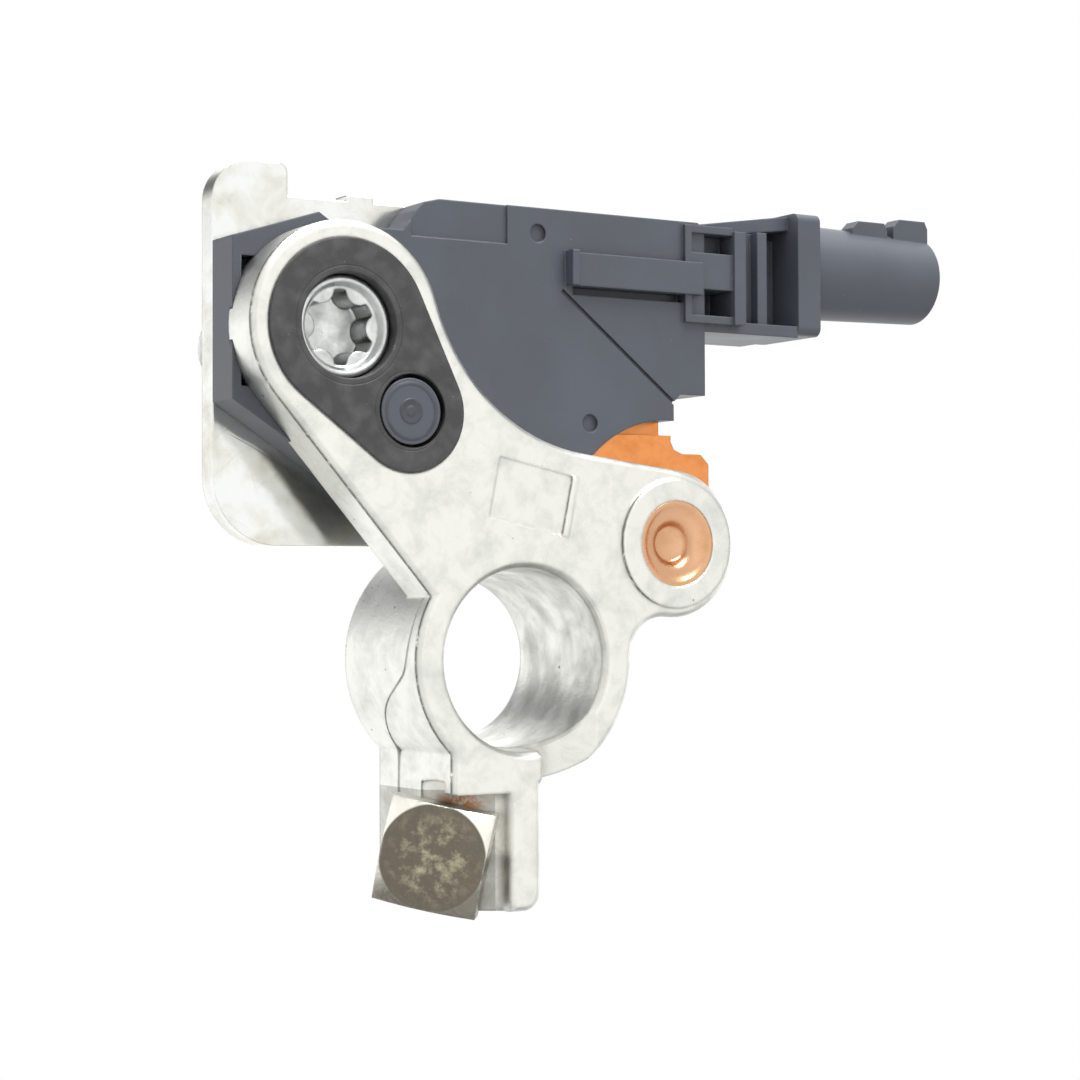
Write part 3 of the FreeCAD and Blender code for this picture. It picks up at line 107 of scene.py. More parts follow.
class ClampFinishes(bpy.types.PropertyGroup):
    casting: colour("Casting", "Clean tinned casting", "#dededa")
    casting_dull: colour("Dull casting", "Patches that have lost their shine", "#c6c7c4")
    # Besides dark pits, this colour paints shade in the casting's hollow corners and a dark reflection
    # along its edges.
    soil_shade_and_reflection: colour("Soil", "Dirt in corners and along worn edges", "#2b2925")
    plate: colour("Ground plate", "Tinned sheet", "#dedfdf")
    copper: colour("Copper", "Bare copper of the shunt", "#dd9158")
    copper_aged: colour("Aged copper", "Browned copper in hollows", "#b4662c")
    rivet: colour("Rivet", "Soft copper of the rivet", "#d2a482")
    strip: colour("Resistance strip", "Manganese alloy strip", "#a58f78")
    housing: colour("Housing", "Moulded housing", "#3f434c")
    insert: colour("Insert", "Insulating insert", "#2f2e30")
    bolt: colour("Bolt", "Blackened bolt steel", "#6b655b")
    # Also paints a highlight on the upper corners of the bolt head.
    bolt_bare_and_highlit: colour("Bare bolt", "Bolt steel rubbed bright", "#e2e0d8")
    rust: colour("Rust", "Rust at the bolt", "#9a5f28")
    zinc: colour("Zinc", "Zinc plating of washer and nut", "#cfcfca")
    stud: colour("Stud", "Tinned stud", "#d8dadb")
    board: colour("Board", "Solder mask of the circuit board", "#14532e")
    chip: colour("Chip", "Moulded chip package", "#1a1a1c")
    ceramic: colour("Ceramic", "Ceramic capacitor body", "#a88a60")


class ClampThreads(bpy.types.PropertyGroup):
    stud_pitch: length("Stud pitch", "Thread pitch of the M8 stud", 1.25 * MM)
    bolt_pitch: length("Bolt pitch", "Thread pitch of the M6 bolt", 1.0 * MM)
    depth_share: FloatProperty(name="Thread depth", description="Depth as a share of the pitch",
                               default=0.58, min=0.1, max=0.7)
    steps: IntProperty(name="Steps", description="Faces round one turn of a thread", default=48, min=12)


class ClampStudio(bpy.types.PropertyGroup):
    floor_drop: length("Floor drop", "How far the floor lies under the part", 0.6)
    floor_half: length("Floor half width", "Half the width of the floor", 6.0)
    floor_colour: colour("Floor", "Plain pale floor", "#f2f2f0")
    tent: FloatProperty(name="Tent", description="Strength of the white tent", default=1.34, min=0.0)
    key: FloatProperty(name="Key light", description="Strength of the key light", default=4.5,
                       subtype="POWER", min=0.0)
    fill: FloatProperty(name="Fill light", description="Strength of the fill light", default=0.2,
                        subtype="POWER", min=0.0)


def add(tree, kind, sockets=None, **settings):
    """Add a node with its settings, and give its sockets values or the outputs to link."""
    made = tree.nodes.new("ShaderNode" + kind)
    for name, value in settings.items():
        setattr(made, name, value)
    for key, value in (sockets or {}).items():
        target = made.inputs[key] if isinstance(key, int) else next(
            i for i in made.inputs if i.enabled and i.name == key)
        if isinstance(value, bpy.types.Node):
            value = next(o for o in value.outputs if o.enabled)
        if isinstance(value, bpy.types.NodeSocket):
            tree.links.new(value, target)
        elif target.type == "RGBA":
            target.default_value = (*value[:3], 1.0)
        else:
            target.default_value = value
    return made


def start_finish(name, **sockets):
    """A material with a surface shader, and Object coordinates in millimetres."""
    finish = bpy.data.materials.new(name)
    finish.use_nodes = True
    tree = finish.node_tree
    tree.nodes.clear()
    shader = add(tree, "BsdfPrincipled", {key.replace("_", " "): v for key, v in sockets.items()})
    add(tree, "OutputMaterial", {"Surface": shader})
    place = add(tree, "TexCoord")
    mm = add(tree, "VectorMath", {0: place.outputs["Object"], "Scale": 1 / MM}, operation="SCALE")
    return finish, tree, shader, mm


def link(tree, shader, **sources):
    for key, node in sources.items():
        tree.links.new(next(o for o in node.outputs if o.enabled), shader.inputs[key.replace("_", " ")])


def relief(tree, mm, scale, depth, strength=1.0, normal=None, detail=2.0, stretch=None):
    """Bumps of a real depth in millimetres, from noise with a real number of cells per mm."""
    place = mm if stretch is None else add(tree, "VectorMath", {0: mm, 1: stretch}, operation="MULTIPLY")
    noise = add(tree, "TexNoise", {"Vector": place, "Scale": scale, "Detail": detail})
    sockets = {"Strength": strength, "Distance": depth * MM, "Height": noise.outputs[0]}
    if normal is not None:
        sockets["Normal"] = normal
    return add(tree, "Bump", sockets)


def rounded(tree, width):
    """The normal as if edges were rounded over this width."""
    return add(tree, "Bevel", {"Radius": width}, samples=6)


def edge_wear(tree, round_normal, mm, breakup=0.8):
    """0 on faces, 1 on outer edges, broken up as real wear is."""
    geometry = add(tree, "NewGeometry")
    match = add(tree, "VectorMath", {0: round_normal, 1: geometry.outputs["Normal"]},
                operation="DOT_PRODUCT")
    bare = add(tree, "MapRange", {"Value": match.outputs["Value"], "From Min": 0.995, "From Max": 0.86})
    noise = add(tree, "TexNoise", {"Vector": mm, "Scale": breakup, "Detail": 5.0, "Roughness": 0.65})
    patch = add(tree, "MapRange", {"Value": noise, "From Min": 0.36, "From Max": 0.6})
    return add(tree, "Math", {0: bare, 1: patch}, operation="MULTIPLY")


def shade_and_browning_in_hollows(tree, distance, mm):
    """1 in hollow corners, found by ambient occlusion and made uneven by noise: painted shade on the
    casting and the sheet, browning on copper.
    """
    hollow = add(tree, "AmbientOcclusion", {"Distance": distance * MM}, samples=6)
    noise = add(tree, "TexNoise", {"Vector": mm, "Scale": 0.9, "Detail": 4.0, "Roughness": 0.7})
    closed = add(tree, "MapRange", {"Value": hollow.outputs["AO"], "From Min": 0.8, "From Max": 0.3})
    patch = add(tree, "MapRange", {"Value": noise, "From Min": 0.3, "From Max": 0.65})
    return add(tree, "Math", {0: closed, 1: patch}, operation="MULTIPLY")


def mix(tree, factor, first, second):
    return add(tree, "Mix", {"Factor": factor, "A": first, "B": second}, data_type="RGBA")


def casting_finish(c):
    # Tinned pressure casting: satin silver with faint cold-flow clouds, pits and rubbed edges, with
    # painted shade in hollows and the bore and painted dark reflections on edges and the ear.
    finish, tree, shader, mm = start_finish("Tinned_die_casting", Metallic=1.0)
    flow = add(tree, "TexNoise", {"Vector": mm, "Scale": 0.3, "Detail": 7.0, "Roughness": 0.66,
                                  "Distortion": 0.3})
    dull = add(tree, "MapRange", {"Value": flow, "From Min": 0.45, "From Max": 0.72})
    base = mix(tree, dull, c.casting, c.casting_dull)
    # Gas pits, up to 0.25 mm wide and one every few square millimetres.
    pits = add(tree, "TexVoronoi", {"Vector": mm, "Scale": 0.8, "Randomness": 1.0})
    pit_size = add(tree, "TexNoise", {"Vector": mm, "Scale": 0.5})
    reach = add(tree, "MapRange", {"Value": pit_size, "From Min": 0.52, "From Max": 0.75,
                                   "To Min": 0.0, "To Max": 0.16})
    pit = add(tree, "Math", {0: pits.outputs["Distance"], 1: reach}, operation="LESS_THAN")
    parts = add(tree, "SeparateXYZ", {"Vector": mm})
    # The pocket's low lip is rubbed round and bright, so its normals turn over a wider edge.
    from_lip = add(tree, "Math", {0: parts.outputs["X"], 1: LIP_X, 2: 0.6}, operation="COMPARE")
    ear = add(tree, "Math", {0: parts.outputs["Y"], 1: EAR_Y}, operation="LESS_THAN")
    lip = add(tree, "Math", {0: from_lip, 1: ear}, operation="MULTIPLY")
    width = add(tree, "MapRange", {"Value": lip, "To Min": 0.5 * MM, "To Max": 1.7 * MM})
    round_normal = rounded(tree, width)
    # A dark line runs where the bevel of the battery side meets the walls that face the stud: a painted
    # dark reflection on the rounded edge.
    lean = add(tree, "SeparateXYZ", {"Vector": round_normal})
    towards = add(tree, "MapRange", {"Value": lean.outputs["X"], "From Min": 0.2, "From Max": 0.5})
    begins = add(tree, "MapRange", {"Value": lean.outputs["Z"], "From Min": -0.04, "From Max": -0.14})
    ends = add(tree, "MapRange", {"Value": lean.outputs["Z"], "From Min": -0.68, "From Max": -0.6})
    broken = add(tree, "TexNoise", {"Vector": mm, "Scale": 1.3, "Detail": 5.0, "Roughness": 0.7})
    broken = add(tree, "MapRange", {"Value": broken, "From Min": 0.34, "From Max": 0.46, "To Max": 0.95})
    line = add(tree, "Math", {0: towards, 1: begins}, operation="MULTIPLY")
    line = add(tree, "Math", {0: line, 1: ends}, operation="MULTIPLY")
    line = add(tree, "Math", {0: line, 1: broken}, operation="MULTIPLY")
    flat = add(tree, "CombineXYZ", {"X": parts.outputs["X"], "Y": parts.outputs["Y"]})
    radius = add(tree, "VectorMath", {0: flat}, operation="LENGTH")
    # Neither the bore's rim nor the lip carries the line.
    outside = add(tree, "Math", {0: radius.outputs["Value"], 1: RIM_REACH}, operation="GREATER_THAN")
    line = add(tree, "Math", {0: line, 1: outside}, operation="MULTIPLY")
    line = add(tree, "Math", {0: line, 1: lip}, operation="SUBTRACT", use_clamp=True)
    kept = add(tree, "MapRange", {"Value": lip, "To Min": 0.45, "To Max": 0.0})
    # Hollow corners take the soil colour, but not on the lip: painted shade, made uneven.
    hollow_shade_and_browning = add(tree, "Math", {0: shade_and_browning_in_hollows(tree, 0.5, mm), 1: kept}, operation="MULTIPLY")
    specks = add(tree, "MapRange", {"Value": pit, "To Max": 0.6})
    dark = add(tree, "Math", {0: hollow_shade_and_browning, 1: specks}, operation="MAXIMUM")
    dark = add(tree, "Math", {0: dark, 1: line}, operation="MAXIMUM")
    # Inside the bore the casting is darkened to grey in soft bands: painted shade.
    inside = add(tree, "Math", {0: radius.outputs["Value"], 1: BORE_REACH}, operation="LESS_THAN")
    band_place = add(tree, "VectorMath", {0: mm, 1: (0.5, 0.5, 1.0)}, operation="MULTIPLY")
    bands = add(tree, "TexNoise", {"Vector": band_place, "Scale": 0.35, "Detail": 3.0,
                                   "Distortion": 0.3})
    band = add(tree, "MapRange", {"Value": bands, "From Min": 0.4, "From Max": 0.65, "To Max": 0.5})
    bore_shade = add(tree, "Math", {0: inside, 1: band}, operation="MULTIPLY")
    base = mix(tree, bore_shade, base, linear("#7c7b78"))
    # Behind the battery face the ear is darkened grey, unevenly: a painted dark reflection.
    behind = add(tree, "MapRange", {"Value": parts.outputs["Z"], "From Min": 0.5, "From Max": 0.8})
    ear_dark_reflection = add(tree, "Math", {0: behind, 1: ear}, operation="MULTIPLY")
    ear_dark_reflection = add(tree, "Math", {0: ear_dark_reflection, 1: lip}, operation="SUBTRACT", use_clamp=True)
    uneven_share = add(tree, "MapRange", {"Value": flow, "From Min": 0.35, "From Max": 0.6,
                                   "To Min": 0.55, "To Max": 0.95})
    ear_dark_reflection = add(tree, "Math", {0: ear_dark_reflection, 1: uneven_share}, operation="MULTIPLY")
    base = mix(tree, ear_dark_reflection, base, linear("#a5a5a0"))
    # Rust has run from the bolt onto the casting over the pocket, in a low wide stain.
    drawn = add(tree, "VectorMath", {0: mm, 1: RUST_SPREAD}, operation="MULTIPLY")
    near_bolt = add(tree, "VectorMath", {0: drawn, 1: [a * b for a, b in zip(RUST_SPOT, RUST_SPREAD)]},
                    operation="DISTANCE")
    close = add(tree, "MapRange", {"Value": near_bolt.outputs["Value"], "From Min": 2.0,
                                   "From Max": 1.1})
    blotch = add(tree, "TexNoise", {"Vector": mm, "Scale": 1.1, "Detail": 5.0, "Roughness": 0.7})
    patchy = add(tree, "MapRange", {"Value": blotch, "From Min": 0.36, "From Max": 0.52})
    rusty = add(tree, "Math", {0: close, 1: patchy}, operation="MULTIPLY")
    base = mix(tree, rusty, base, c.rust)
    base = mix(tree, dark, base, c.soil_shade_and_reflection)
    rough = add(tree, "MapRange", {"Value": flow, "From Min": 0.3, "From Max": 0.7,
                                   "To Min": 0.26, "To Max": 0.46})
    normal = relief(tree, mm, 0.6, 0.09, 0.5, round_normal, detail=3.0)
    normal = relief(tree, mm, 4.0, 0.02, 0.9, normal, detail=4.0)
    deep = add(tree, "Bump", {"Strength": 0.8, "Distance": 0.06 * MM, "Height": pit, "Normal": normal},
               invert=True)
    link(tree, shader, Base_Color=base, Roughness=rough, Normal=deep)
    return finish


def sheet_finish(c):
    # Tinned rolled sheet: near mirror, a little wavy, with water marks and handling scratches.
    finish, tree, shader, mm = start_finish("Tinned_rolled_sheet", Metallic=1.0)
    cloud = add(tree, "TexNoise", {"Vector": mm, "Scale": 0.22, "Detail": 6.0, "Roughness": 0.6,
                                   "Distortion": 0.5})
    base = mix(tree, add(tree, "MapRange", {"Value": cloud, "From Min": 0.42, "From Max": 0.66}),
               c.plate, linear("#c8c6bc"))
    # Scratches run a few ways, each some tenths of a millimetre wide.
    marks = None
    for turn in (0.25, 1.1, 2.3):
        way = add(tree, "VectorRotate", {"Vector": mm, "Angle": turn}, rotation_type="Z_AXIS")
        drawn = add(tree, "VectorMath", {0: way, 1: (1.0, 0.05, 1.0)}, operation="MULTIPLY")
        noise = add(tree, "TexNoise", {"Vector": drawn, "Scale": 2.2, "Detail": 2.0})
        mark = add(tree, "MapRange", {"Value": noise, "From Min": 0.68, "From Max": 0.76})
        marks = mark if marks is None else add(tree, "Math", {0: marks, 1: mark}, operation="MAXIMUM")
    round_normal = rounded(tree, 0.25 * MM)
    # Hollow corners are darkened to brown-grey: painted shade.
    hollow_shade_and_browning = add(tree, "Math", {0: shade_and_browning_in_hollows(tree, 0.8, mm), 1: 0.5}, operation="MULTIPLY")
    base = mix(tree, hollow_shade_and_browning, base, linear("#4a443a"))
    faint = add(tree, "Math", {0: marks, 1: 0.12}, operation="MULTIPLY")
    base = mix(tree, faint, base, linear("#8f8c82"))
    rough = add(tree, "MapRange", {"Value": cloud, "From Min": 0.3, "From Max": 0.7,
                                   "To Min": 0.10, "To Max": 0.24})
    normal = relief(tree, mm, 0.1, 0.5, 0.5, round_normal, detail=1.0)
    normal = relief(tree, mm, 1.0, 0.02, 0.4, normal)
    scored = add(tree, "Bump", {"Strength": 0.2, "Distance": 0.02 * MM, "Height": marks,
                                "Normal": normal}, invert=True)
    link(tree, shader, Base_Color=base, Roughness=rough, Normal=scored)
    return finish


def copper_finish(name, clean, aged_colour, gloss):
    """Bare copper: warm satin metal, browned in hollows, with faint drawing lines."""
    finish, tree, shader, mm = start_finish(name, Metallic=1.0)
    cloud = add(tree, "TexNoise", {"Vector": mm, "Scale": 0.4, "Detail": 5.0, "Roughness": 0.6})
    aged = add(tree, "MapRange", {"Value": cloud, "From Min": 0.45, "From Max": 0.75, "To Max": 0.5})
    hollow_shade_and_browning = shade_and_browning_in_hollows(tree, 1.2, mm)
    brown = add(tree, "Math", {0: aged, 1: hollow_shade_and_browning}, operation="MAXIMUM")
    base = mix(tree, brown, clean, aged_colour)
    round_normal = rounded(tree, 0.2 * MM)
    rough = add(tree, "MapRange", {"Value": cloud, "From Min": 0.3, "From Max": 0.7,
                                   "To Min": gloss, "To Max": gloss + 0.15})
    normal = relief(tree, mm, 3.0, 0.012, 0.7, round_normal)
    link(tree, shader, Base_Color=base, Roughness=rough, Normal=normal)
    return finish


def plastic_finish(name, base_colour, gloss, grain, dusty, cells=0.1, bloom=1.35):
    """Moulded glass-filled plastic, with the grain of a spark-eroded mould and a little dust."""
    finish, tree, shader, mm = start_finish(name, IOR=1.5)
    cloud = add(tree, "TexNoise", {"Vector": mm, "Scale": cells, "Detail": 6.0})
    pale = add(tree, "MapRange", {"Value": cloud, "From Min": 0.42, "From Max": 0.7})
    base = mix(tree, pale, base_colour, [min(1.0, v * bloom) for v in base_colour])
    round_normal = rounded(tree, 0.25 * MM)
    worn = edge_wear(tree, round_normal, mm)
    scuffed = add(tree, "Math", {0: worn, 1: 0.3}, operation="MULTIPLY")
    base = mix(tree, scuffed, base, [min(1.0, v * 2.2) for v in base_colour])
    # Small hollows are darkened nearly to black: painted shade.
    hollow = add(tree, "AmbientOcclusion", {"Distance": 1.4 * MM}, samples=6)
    hollow_shade = add(tree, "MapRange", {"Value": hollow.outputs["AO"], "From Min": 0.62,
                                    "From Max": 0.3, "To Max": 0.75})
    base = mix(tree, hollow_shade, base, linear("#17181a"))
    specks = add(tree, "TexNoise", {"Vector": mm, "Scale": 3.0, "Detail": 1.0})
    dust = add(tree, "MapRange", {"Value": specks, "From Min": 0.79, "From Max": 0.84, "To Max": dusty})
    base = mix(tree, dust, base, linear("#9b9a96"))
    rough = add(tree, "MapRange", {"Value": cloud, "From Min": 0.3, "From Max": 0.7,
                                   "To Min": gloss, "To Max": gloss + 0.1})
    normal = relief(tree, mm, 6.0, grain, 0.6, round_normal, detail=1.0)
    normal = relief(tree, mm, 0.12, 0.05, 0.5, normal)
    link(tree, shader, Base_Color=base, Roughness=rough, Normal=normal)
    return finish


def steel_finish(name, clean, worn_colour, rust, rust_share, gloss, shaded_walls=None):
    """Plated or blackened steel: turned lines, bright rubbed edges and a little rust."""
    finish, tree, shader, mm = start_finish(name, Metallic=1.0)
    cloud = add(tree, "TexNoise", {"Vector": mm, "Scale": 0.45, "Detail": 6.0, "Roughness": 0.65})
    tone = add(tree, "MapRange", {"Value": cloud, "From Min": 0.35, "From Max": 0.7})
    base = mix(tree, tone, clean, [v * 0.62 for v in clean])
    round_normal = rounded(tree, 0.3 * MM)
    worn = edge_wear(tree, round_normal, mm, 1.6)
    base = mix(tree, worn, base, worn_colour)
    blotch = add(tree, "TexNoise", {"Vector": mm, "Scale": 0.8, "Detail": 5.0, "Roughness": 0.7})
    rusty = add(tree, "MapRange", {"Value": blotch, "From Min": 0.72 - rust_share,
                                   "From Max": 0.78 - rust_share, "To Max": 0.8})
    base = mix(tree, rusty, base, rust)
    if shaded_walls:
        # The recess walls between these heights in millimetres are darkened where they are closed in:
        # painted shade.
        low, high = shaded_walls
        parts = add(tree, "SeparateXYZ", {"Vector": mm})
        walls = add(tree, "Math", {0: parts.outputs["Z"], 1: (low + high) / 2, 2: (high - low) / 2},
                    operation="COMPARE")
        inner = add(tree, "AmbientOcclusion", {"Distance": 3.0 * MM}, samples=6)
        closed = add(tree, "MapRange", {"Value": inner.outputs["AO"], "From Min": 0.75, "From Max": 0.5})
        base = mix(tree, add(tree, "Math", {0: walls, 1: closed}, operation="MULTIPLY"), base,
                   linear("#7c7d7a"))
    rough = add(tree, "MapRange", {"Value": cloud, "From Min": 0.3, "From Max": 0.7,
                                   "To Min": gloss, "To Max": gloss + 0.2})
    normal = relief(tree, mm, 1.2, 0.06, 0.5, round_normal, detail=3.0)
    normal = relief(tree, mm, 6.0, 0.010, 0.7, normal)
    link(tree, shader, Base_Color=base, Roughness=rough, Normal=normal)
    return finish


def bolt_finish(c):
    # Bolt steel: brown-black scale worn through on the head's disc, corners turned bare with a painted
    # highlight on the upper ones, some rust.
    finish, tree, shader, mm = start_finish("Blackened_bolt_steel", Metallic=1.0)
    from_seat = add(tree, "VectorMath", {0: mm, 1: [v / MM for v in SEAT]}, operation="SUBTRACT")
    height = add(tree, "VectorMath", {0: from_seat, 1: ALONG_BOLT}, operation="DOT_PRODUCT")
    up_axis = add(tree, "VectorMath", {0: tuple(ALONG_BOLT), "Scale": height.outputs["Value"]},
                  operation="SCALE")
    aside = add(tree, "VectorMath", {0: from_seat, 1: up_axis}, operation="SUBTRACT")
    away = add(tree, "VectorMath", {0: aside}, operation="LENGTH")
    bright_corners = add(tree, "MapRange", {"Value": away.outputs["Value"], "From Min": 5.0, "From Max": 5.16})
    # The two lower corners get little of the bright colour, so the painted highlight lies on the upper
    # corners.
    side = add(tree, "SeparateXYZ", {"Vector": aside})
    highlit_upper_corners = add(tree, "MapRange", {"Value": side.outputs["Y"], "From Min": -3.2, "From Max": 0.5,
                                   "To Min": 0.12})
    bright_corners = add(tree, "Math", {0: bright_corners, 1: highlit_upper_corners}, operation="MULTIPLY")
    cloud = add(tree, "TexNoise", {"Vector": mm, "Scale": 0.55, "Detail": 7.0, "Roughness": 0.7})
    through = add(tree, "MapRange", {"Value": cloud, "From Min": 0.48, "From Max": 0.7})
    middle = add(tree, "MapRange", {"Value": away.outputs["Value"], "From Min": 5.0, "From Max": 2.6})
    through = add(tree, "Math", {0: through, 1: middle}, operation="MULTIPLY")
    base = mix(tree, through, c.bolt, linear("#bdb49a"))
    base = mix(tree, bright_corners, base, c.bolt_bare_and_highlit)
    round_normal = rounded(tree, 0.3 * MM)
    worn = edge_wear(tree, round_normal, mm, 1.6)
    base = mix(tree, worn, base, c.bolt_bare_and_highlit)
    blotch = add(tree, "TexNoise", {"Vector": mm, "Scale": 0.8, "Detail": 5.0, "Roughness": 0.7})
    rusty = add(tree, "MapRange", {"Value": blotch, "From Min": 0.66, "From Max": 0.72, "To Max": 0.8})
    base = mix(tree, rusty, base, c.rust)
    rough = add(tree, "MapRange", {"Value": cloud, "From Min": 0.3, "From Max": 0.7,
                                   "To Min": 0.28, "To Max": 0.46})
    dents = relief(tree, mm, 1.0, 0.25, 0.8, round_normal, detail=4.0)
    normal = relief(tree, mm, 6.0, 0.012, 0.7, dents)
    link(tree, shader, Base_Color=base, Roughness=rough, Normal=normal)
    return finish


def board_finish(c):
    # Epoxy glass board under green solder mask: faint tracks show as a lighter green.
    finish, tree, shader, mm = start_finish("Solder_mask_on_glass_epoxy", IOR=1.5, Roughness=0.35)
    cells = add(tree, "TexBrick", {"Vector": mm, "Color1": c.board, "Color2": linear("#1d6b3c"),
                                   "Mortar": linear("#0e3b20"), "Scale": 1.0, "Mortar Size": 0.12,
                                   "Brick Width": 3.2, "Row Height": 1.1})
    normal = relief(tree, mm, 3.0, 0.01, 0.5)
    link(tree, shader, Base_Color=cells, Normal=normal)
    return finish


def pick(*names):
    """Only these objects selected, the first one active, in object mode."""
    bpy.ops.object.select_all(action="DESELECT")
    for name in names:
        bpy.data.objects[name].select_set(True)
    bpy.context.view_layer.objects.active = bpy.data.objects[names[0]]


def coat(name, finish):
    """Give an object one finish in place of those it came with."""
    slots = bpy.data.objects[name].material_slots
    if not slots:
        bpy.data.objects[name].data.materials.append(finish)
    for slot in slots:
        slot.material = finish


def edit(name):
    """Edit an object alone, with all of its mesh selected."""
    pick(name)
    bpy.ops.object.mode_set(mode="EDIT")
    bpy.ops.mesh.select_all(action="SELECT")


def leave():
    bpy.ops.object.mode_set(mode="OBJECT")


def lathe(name, rings, steps):
    """A turned shape about the Z axis: a disc drawn out ring by ring, (radius, height) in mm."""
    bpy.ops.object.select_all(action="DESELECT")
    radius, height = rings[0]
    bpy.ops.mesh.primitive_circle_add(vertices=steps, radius=radius * MM, fill_type="NGON",
                                      location=(0, 0, height * MM))
    bpy.context.object.name = name
    bpy.ops.object.transform_apply(location=True, rotation=False, scale=False)
    edit(name)
    for following, rise in rings[1:]:
        bpy.ops.mesh.extrude_region_move(
            TRANSFORM_OT_translate={"value": (0, 0, (rise - height) * MM)})
        share = following / radius
        bpy.ops.transform.resize(value=(share, share, 1), center_override=(0, 0, rise * MM))
        radius, height = following, rise
    bpy.ops.mesh.select_all(action="SELECT")
    bpy.ops.mesh.normals_make_consistent(inside=False)
    leave()
    return bpy.data.objects[name]


def stand(part, start, axis=(0, 0, 1), turn=0.0):
    """Move a shape made about the Z axis to its place, with its place in its mesh."""
    part.rotation_mode = "QUATERNION"
    part.rotation_quaternion = Vector((0, 0, 1)).rotation_difference(Vector(axis)) @ Quaternion(
        (0, 0, 1), turn)
    part.location = start
    pick(part.name)
    bpy.ops.object.transform_apply(location=True, rotation=True, scale=True)
    return part


def carve(part, tool, operation="DIFFERENCE"):
    """Take a tool's shape from a part, or keep only what they share."""
    change = part.modifiers.new("Carve", "BOOLEAN")
    change.operation, change.solver, change.object = operation, "EXACT", tool
    pick(part.name)
    bpy.ops.object.modifier_apply(modifier=change.name)
    bpy.data.objects.remove(tool, do_unlink=True)


def round_edges(part, width, angle=25.0):
    soft = part.modifiers.new("Soft", "BEVEL")
    soft.width, soft.segments, soft.limit_method = width * MM, 2, "ANGLE"
    soft.angle_limit = math.radians(angle)
    pick(part.name)
    bpy.ops.object.modifier_apply(modifier=soft.name)


def cut_away(part, point, direction):
    """Keep what lies before a plane, and close the cut."""
    edit(part.name)
    bpy.ops.mesh.bisect(plane_co=point, plane_no=direction, use_fill=True, clear_outer=True,
                        threshold=1e-6)
    leave()


def screw_thread(name, radius, pitch, depth, reach, chamfer, steps):
    """A closed right-handed thread up the Z axis, cut square below and pointed above."""
    turns = math.ceil(reach / pitch) + 3
    bpy.ops.object.select_all(action="DESELECT")
    bpy.ops.mesh.primitive_plane_add(size=pitch)
    part = bpy.context.object
    part.name = name
    # The outline over one pitch: root, flank, crest, flank, root.
    outline = ((radius - depth, 0.0), (radius - depth, 0.12), (radius, 0.44), (radius, 0.56),
               (radius - depth, 0.88), (radius - depth, 1.0))
    shape = bmesh.new()
    knots = [shape.verts.new((r, 0.0, (share - 1.5) * pitch)) for r, share in outline]
    for first, second in zip(knots, knots[1:]):
        shape.edges.new((first, second))
    shape.to_mesh(part.data)
    shape.free()
    turn = part.modifiers.new("Turns", "SCREW")
    turn.axis, turn.angle, turn.screw_offset = "Z", 2 * math.pi, pitch
    turn.iterations, turn.steps, turn.render_steps = turns, steps, steps
    pick(name)
    bpy.ops.object.modifier_apply(modifier=turn.name)
    edit(name)
    bpy.ops.mesh.remove_doubles(threshold=0.002 * MM)
    leave()
    cut_away(part, (0, 0, 0), (0, 0, -1))
    cut_away(part, (0, 0, reach), (0, 0, 1))
    # Crests near the end are drawn in to its chamfer.
    for vertex in part.data.vertices:
        away = vertex.co.to_2d().length
        limit = radius - chamfer + reach - vertex.co.z
        if away > limit:
            vertex.co.x, vertex.co.y = vertex.co.x * limit / away, vertex.co.y * limit / away
    edit(name)
    bpy.ops.mesh.normals_make_consistent(inside=False)
    leave()
    return part


def join(*names):
    pick(*names)
    bpy.ops.object.join()
    return bpy.data.objects[names[0]]


class ClampStep(bpy.types.Operator):
    """What the steps share."""
    bl_options = {"REGISTER", "UNDO"}


